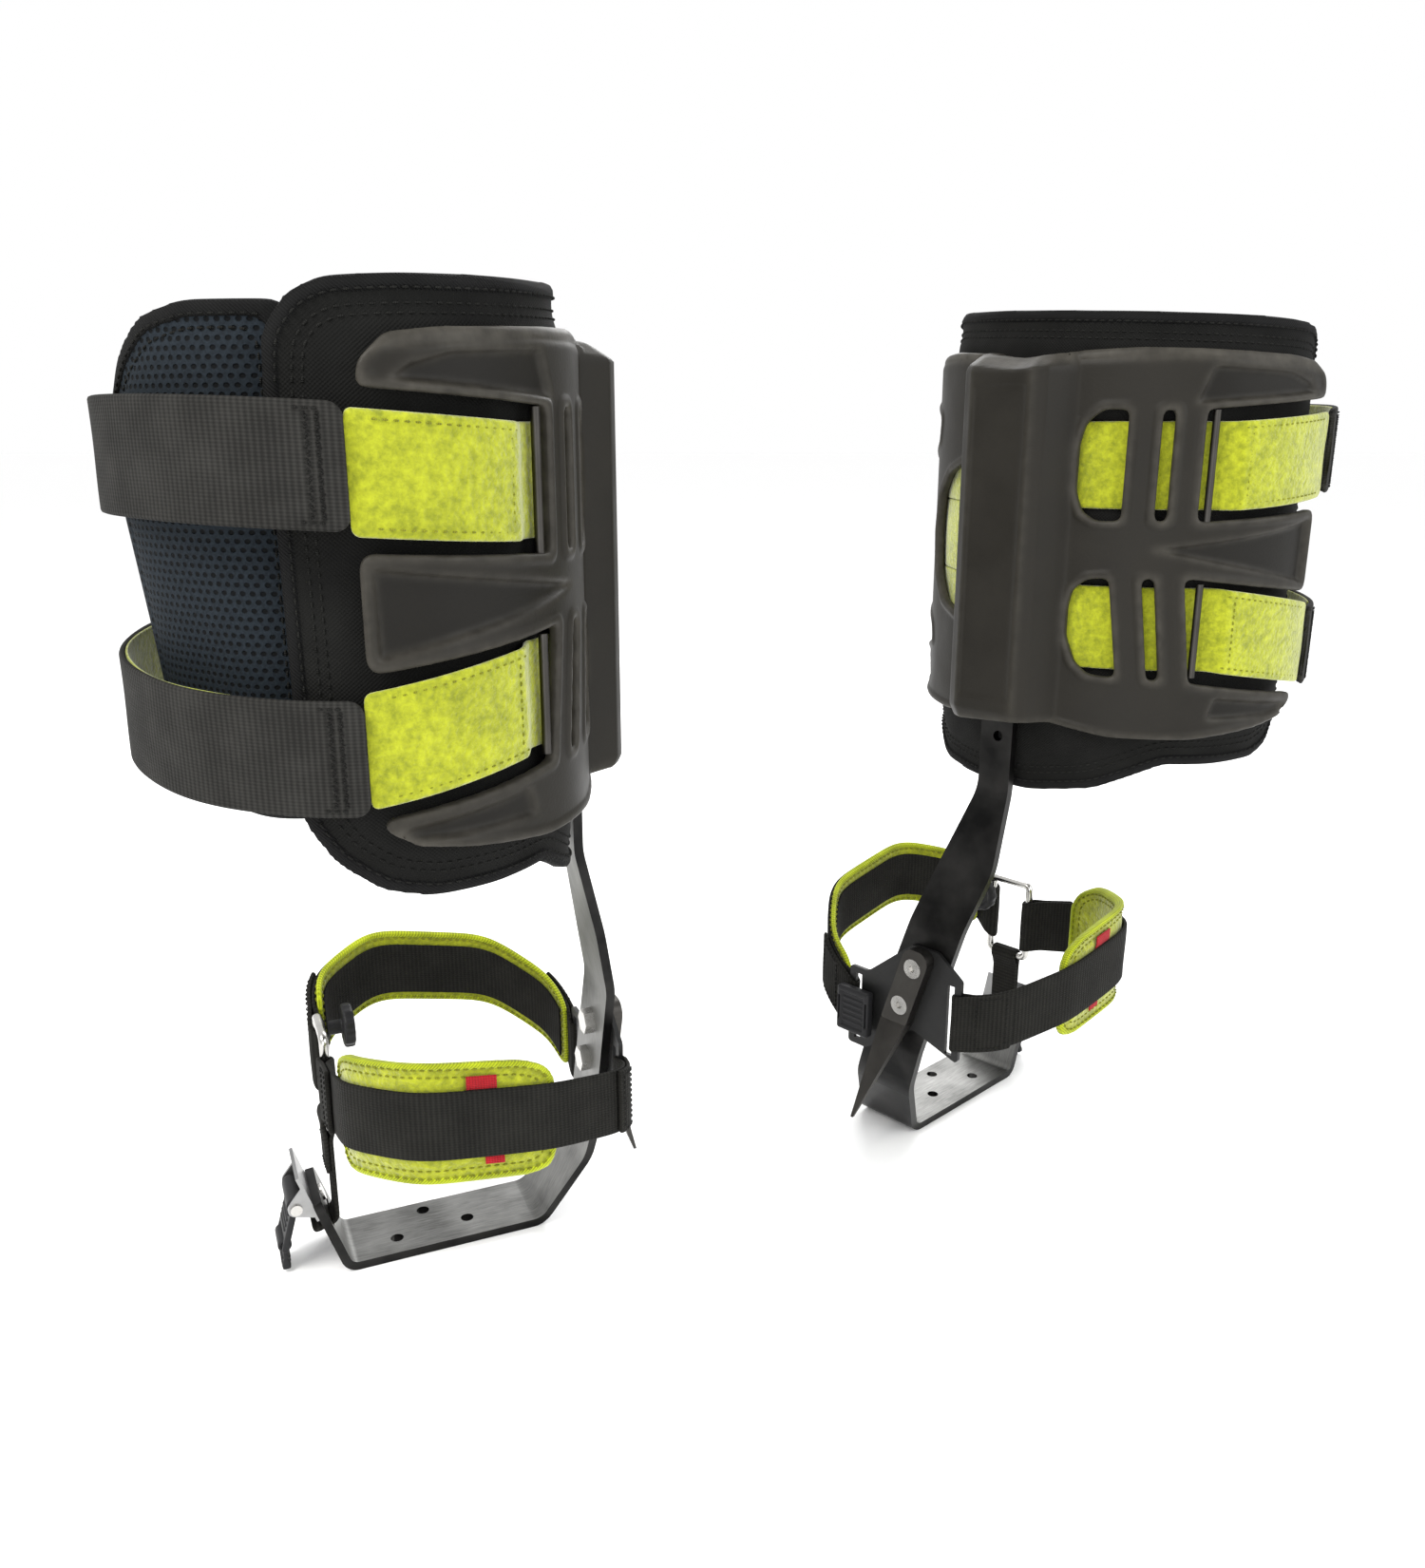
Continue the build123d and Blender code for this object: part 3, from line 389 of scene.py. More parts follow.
def dress_cad():
    """Materials and softened edges for the CAD nodes that stay."""
    for side in SIDES:
        nodes = [(name, look) for look, names in CAD_LOOK.items() for name in names]
        for name, look in nodes + [("stirrup_shank", f"bar_{side}")]:
            obj = frame["nodes"][f"{side}_{name}"]
            obj.data.materials.clear()
            obj.data.materials.append(M[look])
            soften = obj.modifiers.new("soften", "BEVEL")
            soften.width = 0.0003 if look != "black_plastic" else 0.0006
            soften.segments = 2
            soften.limit_method = "ANGLE"
            soften.angle_limit = math.radians(40)


dress_cad()

# ---- mesh helpers


UP = (0.0, 0.0, 1.0)
# body, slot and look of what is made most
LIME = ("cuff", "lime_fabric", "lime")
FOOT_TAPE = ("spurs", "webbing_black", "webbing_foot")
FOOT_THREAD = ("spurs", "webbing_black", "thread")


def add_piece(name, body, slot, look, shape, edge=None, nodes=()):
    """Makes a piece on both spurs; shape is verts (mm, spur's own frame), faces and cloth coordinates."""
    verts, faces, cloth = shape
    made = []
    for side in SIDES:
        mesh = bpy.data.meshes.new(f"{side}_{name}")
        mesh.from_pydata([tuple(v) for v in verts], [], [tuple(f) for f in faces])
        for key, kind, data in (("cloth", "FLOAT_VECTOR", cloth), ("edge", "FLOAT", edge)):
            if data is not None:
                layer = mesh.attributes.new(key, kind, "POINT")
                layer.data.foreach_set("vector" if kind == "FLOAT_VECTOR" else "value",
                                       np.asarray(data, np.float32).ravel())
        mesh.transform(SPUR[side])
        if side == "right":
            mesh.flip_normals()
        mesh.validate()
        obj = bpy.data.objects.new(f"{side}_{name}", mesh)
        bpy.context.scene.collection.objects.link(obj)
        mesh.materials.append(M[look])
        mesh.shade_smooth()
        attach(obj, "spurs" if body == "spurs" else f"{side}_{body}")
        if nodes:
            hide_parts(*[f"{side}_{node}" for node in nodes])
        made.append(obj)
    return made


def unit(v):
    return v / np.maximum(np.linalg.norm(v, axis=-1, keepdims=True), 1e-9)


def arc_length(points):
    return np.concatenate([[0], np.cumsum(np.linalg.norm(np.diff(points, axis=0), axis=1))])


def loft(sections):
    """Quads through rings of equal size, closed at both ends; sections is (rings, points, 3)."""
    rings, points = sections.shape[:2]
    faces = []
    for a in range(0, (rings - 1) * points, points):
        for j in range(points):
            k = (j + 1) % points
            faces.append((a + j, a + k, a + points + k, a + points + j))
    faces.append(tuple(reversed(range(points))))
    faces.append(tuple(range((rings - 1) * points, rings * points)))
    return sections.reshape(-1, 3), faces


def strip_section(half_w, half_t, across):
    """Rounded flat section: (a, b) pairs, a across the strip and b through it."""
    flat = np.linspace(-1, 1, across)
    top = [(a * (half_w - half_t), half_t) for a in flat]
    right = [(half_w - half_t + half_t * math.cos(t), half_t * math.sin(t))
             for t in (math.pi / 4, 0, -math.pi / 4)]
    low = [(a * (half_w - half_t), -half_t) for a in flat[::-1]]
    left = [(-x, z) for x, z in right[::-1]]
    return np.array(top + right + low + left)


def strip(centres, ups, outs, half_w, half_t, across=9, wave=None):
    """A flat strip along centres; ups and half_w may vary along it. Returns a shape."""
    ups = np.broadcast_to(ups, centres.shape)
    half_w = np.broadcast_to(half_w, len(centres))
    s = arc_length(centres)
    rings, cloth = [], []
    for i in range(len(centres)):
        sec = strip_section(half_w[i], half_t, across)
        lift = 0 if wave is None else wave(s[i], sec[:, 0])
        rings.append(centres[i] + sec[:, :1] * ups[i] + (sec[:, 1:] + np.reshape(lift, (-1, 1))) * outs[i])
        cloth.append(np.column_stack([np.full(len(sec), s[i]), sec[:, 0], sec[:, 1]]))
    verts, faces = loft(np.array(rings))
    return verts, faces, np.concatenate(cloth)


def merge(*parts):
    """Joins shapes into one."""
    verts, faces, cloth, base = [], [], [], 0
    for v, f, c in parts:
        verts.append(v)
        cloth.append(c)
        faces += [tuple(i + base for i in face) for face in f]
        base += len(v)
    return np.concatenate(verts), faces, np.concatenate(cloth)


def stitches(path, outs, pitch=3.4, length=2.3, radius=0.42, lift=0.0):
    """Separate thread stitches lying along a path; outs is one direction or one for each point."""
    outs = np.broadcast_to(outs, path.shape)
    s = arc_length(path)
    parts = []
    for start in np.arange(pitch / 2, s[-1] - length, pitch):
        marks = start + np.array([0, 0.18, 0.5, 0.82, 1.0]) * length
        pts = np.column_stack([np.interp(marks, s, path[:, k]) for k in range(3)])
        out = unit(np.array([np.interp(marks[2], s, outs[:, k]) for k in range(3)]))
        along = unit(pts[-1] - pts[0])
        side = np.cross(along, out)
        sizes = np.array([0.25, 0.8, 1.0, 0.8, 0.25]) * radius
        rise = np.array([-0.5, 0.15, 0.45, 0.15, -0.5]) * radius + lift
        ring = np.array([[math.cos(t), math.sin(t)] for t in np.linspace(0, 2 * math.pi, 7)[:-1]])
        sec = np.array([pts[i] + rise[i] * out + sizes[i] * (ring[:, :1] * side + ring[:, 1:] * out)
                        for i in range(5)])
        v, f = loft(sec)
        parts.append((v, f, np.column_stack([np.repeat(marks, 6), np.zeros(30), np.zeros(30)])))
    return merge(*parts)


def smooth_step(x, low, high):
    t = np.clip((x - low) / (high - low), 0, 1)
    return t * t * (3 - 2 * t)


# ---- cuff geometry

CX, CY = -27.0, -67.0  # middle of the leg, mm in the spur's own frame
# half widths of the elliptic walls, across and along the leg
PAD_IN = (65.0, 74.0)
TONGUE_IN, TONGUE_CX = (60.5, 62.5), -35.0
SHELL_IN = (77.0, 86.0)
STRAP_UNDER, STRAP_OVER = (75.3, 84.3), (78.2, 91.1)  # base straps inside and outside the shell
HOOK_OVER = (80.5, 93.4)  # closing straps on top of them
CALF_STRAP = 18.4  # half width of the calf straps


def ellipse(theta, a, b, cx=CX):
    """Point and outward normal of an upright ellipse, theta in degrees."""
    t = np.radians(theta)
    point = np.stack([cx + a * np.cos(t), CY + b * np.sin(t)], -1)
    normal = unit(np.stack([np.cos(t) / a, np.sin(t) / b], -1))
    return point, normal


class Wall:
    """An elliptic wall addressed by arc length u from theta 0, height z and depth w (mm)."""

    def __init__(self, a, b, cx=CX):
        self.a, self.b, self.cx = a, b, cx
        self.theta = np.linspace(-260, 260, 5201)
        s = arc_length(ellipse(self.theta, a, b, cx)[0])
        self.u = s - np.interp(0, self.theta, s)

    def at(self, theta):
        return np.interp(theta, self.theta, self.u)

    def place(self, u, z, w):
        p, n = ellipse(np.interp(u, self.u, self.theta), self.a, self.b, self.cx)
        return np.concatenate([p + n * np.asarray(w)[..., None], np.asarray(z)[..., None]], -1)

    def out(self, u):
        _, n = ellipse(np.interp(u, self.u, self.theta), self.a, self.b, self.cx)
        return np.concatenate([n, np.zeros(n.shape[:-1] + (1,))], -1)


def polygon_sdf(u, z, points):
    """Signed distance to a polygon (negative inside); u and z are grids."""
    pts = np.asarray(points, float)
    best = np.full(u.shape, 1e9)
    inside = np.zeros(u.shape, bool)
    for (ax, ay), (bx, by) in zip(pts, np.roll(pts, -1, axis=0)):
        ex, ey = bx - ax, by - ay
        t = np.clip(((u - ax) * ex + (z - ay) * ey) / (ex * ex + ey * ey), 0, 1)
        best = np.minimum(best, np.hypot(u - ax - t * ex, z - ay - t * ey))
        crosses = (ay > z) != (by > z)
        at = ax + (z - ay) * ex / np.where(ey == 0, 1e-9, ey)
        inside ^= crosses & (u < at)
    return np.where(inside, -best, best)


def smooth_max(a, b, k):
    h = np.clip(0.5 + 0.5 * (a - b) / k, 0, 1)
    return b * (1 - h) + a * h + k * h * (1 - h)


def surface_nets(field, origin, step):
    """Closed quad surface of field = 0 (negative inside), vectorised."""
    nx, ny, nz = field.shape
    neg = field < 0
    total = np.zeros((nx - 1, ny - 1, nz - 1, 3))
    count = np.zeros((nx - 1, ny - 1, nz - 1))
    corner = [(i, j, k) for i in (0, 1) for j in (0, 1) for k in (0, 1)]
    cut = lambda arr, c: arr[c[0]:nx - 1 + c[0], c[1]:ny - 1 + c[1], c[2]:nz - 1 + c[2]]
    for c in corner:
        for axis in range(3):
            if c[axis]:
                continue
            d = tuple(c[m] + (m == axis) for m in range(3))
            fa, fb = cut(field, c), cut(field, d)
            cross = cut(neg, c) != cut(neg, d)
            t = np.where(cross, fa / np.where(cross, fa - fb, 1), 0)
            for m in range(3):
                total[..., m] += cross * (c[m] + (t if m == axis else 0))
            count += cross
    used = count > 0
    index = np.full(used.shape, -1)
    index[used] = np.arange(used.sum())
    cell = np.argwhere(used)
    verts = (cell + total[used] / count[used][:, None]) * step + origin
    faces = []
    for axis in range(3):
        b, c = [(1, 2), (2, 0), (0, 1)][axis]
        lo = [slice(1, -1)] * 3
        lo[axis] = slice(0, -1)
        hi = list(lo)
        hi[axis] = slice(1, None)
        change = neg[tuple(lo)] != neg[tuple(hi)]
        at = np.argwhere(change)
        base = at.copy()
        base[:, b] += 1
        base[:, c] += 1
        db, dc = np.eye(3, dtype=int)[b], np.eye(3, dtype=int)[c]
        quad = [base - db - dc, base - dc, base, base - db]
        ids = np.stack([index[tuple(q.T)] for q in quad], 1)
        flip = ~neg[tuple(lo)][change]
        ids[flip] = ids[flip][:, ::-1]
        faces.append(ids)
    faces = np.concatenate(faces)
    return verts, faces[(faces >= 0).all(1)]


def blur(field, sigma):
    """Softens a grid, which rounds the corners of a distance field."""
    reach = int(3 * sigma) + 1
    kernel = np.exp(-0.5 * (np.arange(-reach, reach + 1) / sigma) ** 2)
    kernel /= kernel.sum()
    for axis in (0, 1):
        padded = np.pad(field, [(reach, reach) if k == axis else (0, 0) for k in (0, 1)], mode="edge")
        field = sum(k * np.take(padded, range(i, i + field.shape[axis]), axis=axis)
                    for i, k in enumerate(kernel))
    return field


class Grid:
    """Sampling grid over a wall's u, z and w."""

    def __init__(self, u_range, z_range, w_range, step):
        self.step = np.array(step, float)
        self.low = np.array([u_range[0], z_range[0], w_range[0]], float)
        axes = [np.arange(a, b + s, s) for (a, b), s in zip((u_range, z_range, w_range), step)]
        self.u, self.z = np.meshgrid(axes[0], axes[1], indexing="ij")
        self.w = axes[2][None, None, :]

    def solid(self, mask, high, low, round_w=0.8, round_edge=1.4):
        body = smooth_max(self.w - high[..., None], low[..., None] - self.w, round_w)
        return surface_nets(smooth_max(np.broadcast_to(mask[..., None], body.shape), body, round_edge),
                            self.low, self.step)

    def sample(self, field, verts):
        at = np.clip((verts[:, :2] - self.low[:2]) / self.step[:2], 0, np.array(field.shape) - 1.001)
        i, j = at.astype(int).T
        p, q = (at % 1).T
        return ((1 - p) * (1 - q) * field[i, j] + p * (1 - q) * field[i + 1, j]
                + (1 - p) * q * field[i, j + 1] + p * q * field[i + 1, j + 1])


def wrinkles(u, z, seed, size, amount):
    """Slow random swell over a wall."""
    rng = np.random.default_rng(seed)
    total = np.zeros(np.shape(u))
    for k in range(7):
        a, b, p = rng.normal(0, 1 / size, 2).tolist() + [rng.uniform(0, 6.28)]
        total = total + np.sin(a * u + b * z + p)
    return total * amount / 3.0


# ---- cuff shell

# outlines on the cuff: (angle round the leg in degrees, height in mm)
SHELL_OUTLINE = [
    (-96, 392), (-90, 400), (-79, 402), (-49, 404), (-30, 405), (-14, 404), (0, 401), (14, 404), (36, 406),
    (60, 405), (88, 402), (95, 394), (95, 383), (58, 380), (48, 376), (50, 366), (62, 360), (74, 356),
    (76, 350), (76, 290), (74, 284), (60, 280), (49, 275), (47, 268), (60, 264), (95, 262), (96, 252),
    (88, 243), (60, 239), (30, 238), (7, 241), (-9, 243), (-29, 238), (-53, 238), (-77, 242), (-90, 245),
    (-97, 251), (-97, 254.5), (-51, 263.5), (-47, 309.5), (-97, 300.8), (-98.5, 304), (-98.5, 334),
    (-97, 337.2), (-49, 333.3), (-49, 379.7), (-97, 384.6),
]
SHELL_WINDOWS = [
    [(-28, 333.3), (-28, 379.7), (-21, 379.7), (-16.5, 374), (-15, 365), (-15, 345), (-17, 337),
     (-21, 333.3)],
    [(-37, 333.3), (-37, 379.7), (-40.6, 379.7), (-40.6, 333.3)],
    [(-30, 265), (-26, 309), (-20, 308), (-16, 303), (-15, 296), (-15, 282), (-18, 271), (-22, 266)],
    [(-38.8, 264.4), (-35, 309.2), (-38.6, 309.4), (-42.4, 264.2)],
    [(20, 292), (20, 351), (25, 357), (36, 351), (45, 340), (49, 322), (46, 304), (37, 291), (25, 285)],
]
SUNK_PANELS = [
    [(-46, 382), (-50, 397), (-76, 395), (-86, 391), (-90, 386.5)],
    [(-37, 321.5), (-95.5, 305), (-96, 332.6)],
    [(-58, 247), (-92, 246.5), (-94, 250.5), (-60, 256.5)],
    [(56, 386), (58, 398), (86, 396), (91, 388)],
    [(50, 246), (54, 256), (91, 257), (91, 249)],
]
FINE = 1.0


SPINE_X = 70.0  # outer face of the spine, mm in the spur's own frame


def build_shell():
    wall = Wall(*SHELL_IN)
    at = wall.at
    g = Grid((at(-101), at(99)), (231, 411), (-2.4, 27), (FINE, FINE, 0.8))
    poly = lambda pts: polygon_sdf(g.u, g.z, [(at(t), z) for t, z in pts])
    mask = poly(SHELL_OUTLINE)
    for window in SHELL_WINDOWS:
        mask = np.maximum(mask, -poly(window))
    mask = blur(mask, 1.5 / FINE)
    inward = -mask
    recess = blur(np.minimum.reduce([poly(panel) for panel in SUNK_PANELS]), 0.8 / FINE)
    lip = 1 - smooth_step(inward, 2.2, 4.2)
    high = 3.9 + 0.9 * lip - 2.3 * (1 - smooth_step(recess, -1.6, 0.9))
    # the spine stands proud of the wall, with sloping flanks and a shallow bare panel down its face
    theta = np.interp(g.u, wall.u, wall.theta)
    p, n = ellipse(theta, *SHELL_IN)
    face = (SPINE_X - p[..., 0]) / n[..., 0].clip(0.2)
    y = p[..., 1] + n[..., 1] * face.clip(0, 60)
    sideways = np.minimum(y + 80.5, -41.5 - y)
    upright = np.minimum(g.z - 243.5, 399.0 - g.z)
    drop = lambda d: 0.6 * np.clip(4.5 - d, 0, 6.5) + 1.55 * np.clip(-2.0 - d, 0, None)
    spine = face - drop(sideways) - 0.9 * drop(upright + 1.5)
    panel = np.minimum(sideways - 6.5, upright - 9.0)
    spine = spine - 0.7 * smooth_step(panel, -0.6, 0.8)
    spine = np.where(np.abs(theta) < 34, spine, 0.0)
    high = smooth_max(high, spine, 2.0)
    top = np.interp(theta, (-90, -49, -14, 0, 14, 36, 60, 88), (400, 404, 404, 401, 404, 406, 405, 402))
    from_top = top - g.z
    bevel = np.clip(5.5 - from_top, 0, 8)
    high = np.maximum(high - np.where(high > 8, 1.1, 0.5) * bevel, np.minimum(high, 1.8))
    channel = np.minimum(y + 75.5, -46.5 - y)
    low = np.maximum(0.0, (face - 4.2) * smooth_step(channel, -1.0, 0.6))
    low = np.minimum(low, np.maximum(0.0, high - 3.2))
    verts, faces = g.solid(mask, high, low)
    # painted highlight on the window lips, the rims of the sunk panels, the spine's flanks and the top bevel
    rim = np.exp(-(inward / 1.9) ** 2) + 0.8 * np.exp(-(recess / 1.0) ** 2) * (recess > -3)
    rim = rim + 0.7 * np.exp(-((sideways - 4.2) / 1.0) ** 2) * (upright > 0)
    rim = rim + 0.75 * smooth_step(bevel, 0.2, 1.2)
    edge = np.clip(g.sample(blur(rim, 0.9 / FINE), verts), 0, 1)
    # painted shade in the sunk panels, passed on in the first cloth channel
    sunk_shade = g.sample(1 - smooth_step(recess, -1.2, 0.8), verts) * (verts[:, 2] > 0.7)
    sunk_shade = np.column_stack([sunk_shade, np.zeros((len(verts), 2))])
    add_piece("shell", "cuff", "shell_plastic", "shell", (wall.place(*verts.T), faces, sunk_shade), edge=edge,
              nodes=("cuff_shell",))


# ---- pad and tongue

PAD_OUTLINE = [
    (-117, 384), (-116, 400), (-110, 410), (-102, 414.5), (-85, 416), (-40, 418), (-15, 419.5), (20, 422),
    (46, 423.5), (70, 422), (95, 416), (108, 410), (115, 400), (117, 384), (117, 258), (113, 246),
    (104, 235), (92, 228), (70, 223), (56, 219), (43, 210), (14, 207), (-4, 207), (-26, 212), (-48, 225),
    (-66, 224.5), (-85, 225), (-98, 229), (-109, 239), (-116, 252),
]
TONGUE_OUTLINE = [
    (255, 409), (228, 409), (212, 405), (199, 395), (190, 386), (178, 379), (160, 373), (135, 368),
    (110, 365), (105, 360), (105, 264), (112, 256), (135, 252), (200, 251), (255, 251),
]

def along_outline(g, field, outline, inset, count=900):
    """Points of an outline pushed in until they lie inset inside the field's edge."""
    pts = np.asarray(list(outline) + [outline[0]], float)
    s = arc_length(pts)
    at = np.linspace(0, s[-1], count, endpoint=False)
    uz = np.column_stack([np.interp(at, s, pts[:, 0]), np.interp(at, s, pts[:, 1])])
    gu, gz = np.gradient(field, g.step[0], g.step[1])
    for _ in range(12):
        value = g.sample(field, uz)
        grad = np.column_stack([g.sample(gu, uz), g.sample(gz, uz)])
        uz = uz - 0.7 * (value + inset)[:, None] * unit(grad)
    kernel = np.ones(9) / 9
    for k in range(2):
        wrap = np.concatenate([uz[-4:, k], uz[:, k], uz[:4, k]])
        uz[:, k] = np.convolve(wrap, kernel, "valid")
    return np.vstack([uz, uz[:1]])


def bound_pad(name, body, slot, looks, wall, outline, middle, half, nodes, fill, seed, warp=None, seams=(),
              binding=5.5, step=1.6, w_reach=3.0, rows=(8.2,), swell=0.5):
    """A sewn pad: crowned body pulled in at its seams, bound edge, rows of stitches."""
    step = step * 1.0
    us, zs = [p[0] for p in outline], [p[1] for p in outline]
    g = Grid((min(us) - 4, max(us) + 4), (min(zs) - 4, max(zs) + 4),
             (middle - half - w_reach, middle + half + w_reach), (step, step, min(step, half / 2.2)))
    field = blur(polygon_sdf(g.u, g.z, outline), 2.2 / step)
    inward = -field
    place = lambda u, z, w: wall.place(u, z, w if warp is None else w + warp(u, z))
    crown = 1 - np.exp(-np.clip(inward - binding, 0, None) / 7.0)
    thick = half * (0.62 + 0.38 * crown)
    for row in rows:
        thick = thick - 0.13 * half * np.exp(-((inward - row) / 1.3) ** 2)
    for seam in seams:
        thick = thick - 0.3 * half * np.exp(-(seam(g.u, g.z) / 2.0) ** 2)
    high = middle + thick + wrinkles(g.u, g.z, seed, 26.0, swell) * smooth_step(inward, 6, 22)
    low = middle - thick
    verts, faces = g.solid(field, high, low, round_w=0.7 * half, round_edge=1.6)
    made = add_piece(name, body, slot, looks[0], (place(*verts.T), faces, verts), nodes=nodes)
    edge_half = 0.62 * half + 0.75
    tape = np.maximum(field - 0.7, inward - binding + 0.8)
    v, f = g.solid(tape, np.full(field.shape, middle + edge_half), np.full(field.shape, middle - edge_half),
                   round_w=0.9 * half, round_edge=1.3)
    add_piece(name + "_binding", body, slot, looks[1],
              (place(*v.T), f, np.column_stack([v[:, 0] + v[:, 1], v[:, 2], v[:, 2]])))
    threads = []
    for inset in (0.62 * binding, *rows):
        uz = along_outline(g, field, outline, inset)
        on_tape = inset < binding
        for sign in (1, -1):
            if on_tape:
                w = np.full(len(uz), middle + sign * (edge_half - 0.15))
            else:
                w = middle + sign * g.sample(thick, uz)
                if sign > 0:
                    w = w + wrinkles(uz[:, 0], uz[:, 1], seed, 26.0, swell) * smooth_step(inset, 6, 22)
            path = place(uz[:, 0], uz[:, 1], w)
            nearby = place(uz[:, 0], uz[:, 1], w + sign)
            threads.append(stitches(path, unit(nearby - path), lift=0.1))
    add_piece(name + "_stitching", body, slot, looks[2], merge(*threads))


def build_pad():
    wall = Wall(*PAD_IN)
    outline = [(wall.at(t), z) for t, z in PAD_OUTLINE]
    bound_pad("calf_cushion", "cuff", "pad_fabric", ("pad", "binding", "thread"), wall, outline, 4.5, 4.4,
              ("calf_pad",), 0.45, 3, rows=(7.6, 10.4))


def build_tongue():
    wall = Wall(*TONGUE_IN, cx=TONGUE_CX)
    outline = [(wall.at(t), z) for t, z in TONGUE_OUTLINE]
    seam_u = wall.at(189)

    def warp(u, z):
        theta = np.interp(u, wall.u, wall.theta)
        side = smooth_step(theta, 118, 150) * (1 - smooth_step(theta, 215, 245))
        return -0.11 * np.clip(345 - z, 0, 90) * side

    bound_pad("tongue_mesh", "cuff", "mesh_fabric", ("mesh", "binding", "thread"), wall, outline, 3.3, 3.0,
              ("tongue",), 0.4, 5, warp=warp, seams=(lambda u, z: u - seam_u,), rows=(7.4,), swell=0.35)


# ---- calf straps

SEWN = {"pitch": 2.6, "length": 1.9, "radius": 0.38}  # stitches at a strap's edges
SEWN_FOOT = dict(SEWN, pitch=2.5)


def band_points(wall, theta, z):
    """Points on a wall, and the directions out of it there."""
    u = wall.at(theta)
    return wall.place(u, z, np.zeros(len(u))), wall.out(u)


def eased(start, end, count):
    """Parameter values that crowd towards both ends."""
    t = np.linspace(0, 1, count)
    head = np.array([0, 0.0006, 0.0015, 0.003, 0.005, 0.008, 0.012, 0.017, 0.023])
    t = np.unique(np.concatenate([t, head, 1 - head]))
    return start + (end - start) * t


def rounded_ends(s, half_w, first, last):
    """Half width along a strip whose corners are rounded by the radii first and last."""
    out = np.full(len(s), float(half_w))
    for d, r in ((s - s[0], first), (s[-1] - s, last)):
        if r:
            near = d < r
            arc = np.sqrt(np.maximum(r * r - (r - d[near]) ** 2, 0.04))
            out[near] = np.minimum(out[near], half_w - r + arc)
    return out


def build_base_strap(which, z_mid, tilt):
    """Lime strap inside the shell that comes out at its window (theta -57) and folds back over it."""
    exit_x = CX + SHELL_IN[0] * math.cos(math.radians(57))
    theta = eased(95.0, -100.0, 260)
    outside = smooth_step(-theta, 54.5, 60.5)[:, None]
    p_in, n_in = band_points(Wall(*STRAP_UNDER), theta, np.full(len(theta), z_mid))
    x = ellipse(theta, *SHELL_IN)[0][:, 0]
    p_out, n_out = band_points(Wall(*STRAP_OVER), theta, z_mid + tilt * (x - exit_x))
    mid = p_in * (1 - outside) + p_out * outside
    outs = unit(n_in * (1 - outside) + n_out * outside)
    half_w = rounded_ends(arc_length(mid), CALF_STRAP, 1.5, 2.5)
    rng = np.random.default_rng(11 + int(z_mid))
    phase = rng.uniform(0, 6.28, 6)

    def wave(at, across):
        bow = 0.25 * math.sin(at / 19.0 + phase[0]) + 0.18 * math.sin(at / 8.5 + phase[1])
        return bow + 0.14 * np.sin(across / 4.3 + phase[2] + at / 11.0) * (np.abs(across) < 17)

    add_piece(f"{which}_loop_strap", *LIME,
              strip(mid, UP, outs, half_w, 0.95, across=23, wave=wave), nodes=(f"{which}_base_strap",))
    rows = []
    on = (theta < -58) & (theta > -95)
    for sign in (-1, 1):
        path = mid + outs * 1.05 + np.multiply(UP, sign * 15.6)
        rows.append(stitches(path[on], outs[on], pitch=3.2, length=1.7, radius=0.34))
    turn = np.argmin(np.abs(theta + 61.5))
    line = mid[turn] + outs[turn] * 1.05 + np.outer(np.linspace(-14.5, 14.5, 30), UP)
    rows.append(stitches(line, outs[turn], pitch=2.8, length=1.6, radius=0.34))
    add_piece(f"{which}_loop_stitching", "cuff", "lime_fabric", "thread_lime", merge(*rows))


def build_closing_strap(which, height):
    """Hook strap round the front of the leg; height gives its middle at a point of the plan."""
    theta = eased(264.0, 96.0, 300)
    mid, outs = band_points(Wall(*HOOK_OVER), theta, height(*ellipse(theta, *HOOK_OVER)[0].T))
    s = arc_length(mid)
    half_w = rounded_ends(s, CALF_STRAP, 5.0, 1.0)
    phase = 1.7 if which == "upper" else 4.1

    def slack(at, across):
        bow = 0.35 * math.sin(at / 23 + phase) + 0.22 * math.sin(at / 9.7 + phase * 2)
        return bow * smooth_step(at, 12, 40) + 0.12 * np.cos(across / 6.0 + at / 14)

    tab = s < 15.0  # the gripping end is folded double
    band = strip(mid, UP, outs, half_w, 1.0, across=13, wave=slack)
    fold = strip(mid[tab] - outs[tab] * 1.25, UP, outs[tab], half_w[tab] - 0.5, 0.8)
    add_piece(f"{which}_hook_strap", "cuff", "webbing_black", "webbing", merge(band, fold),
              nodes=(f"{which}_closing_strap",))
    lines = []
    for place, swing in ((7.0, 1.5), (10.5, -1.5)):
        i = np.argmin(np.abs(s - place))
        zig = np.where(np.arange(45) % 2 == 0, swing, -swing) * 0.5
        along = unit(mid[i + 1] - mid[i])
        line = mid[i] + outs[i] * 1.1 + np.outer(np.linspace(-15.5, 15.5, 45), UP) + np.outer(zig, along)
        lines.append(stitches(line, outs[i], pitch=2.3, length=1.9))
    for sign in (-1, 1):
        path = mid + outs * 1.08 + np.outer(sign * (half_w - 2.4), UP)
        on = (s > 5) & (s < 15)
        lines.append(stitches(path[on], outs[on], **SEWN))
    add_piece(f"{which}_hook_stitching", "cuff", "webbing_black", "thread", merge(*lines))
    # lime hook lining on the inside of the strap, seen at its edges
    on = s > 16
    add_piece(f"{which}_hook_lining", *LIME,
              strip((mid - outs * 1.5)[on], UP, outs[on], 17.9, 0.5, wave=slack))


def build_side_patch():
    """Loop fabric on the pad between the two base straps, seen through the shell's side window."""
    mid, outs = band_points(Wall(*STRAP_UNDER), np.linspace(10, 64, 90), np.full(90, 321.5))
    add_piece("side_patch", *LIME, strip(mid, UP, outs, 16.6, 0.8, across=15))


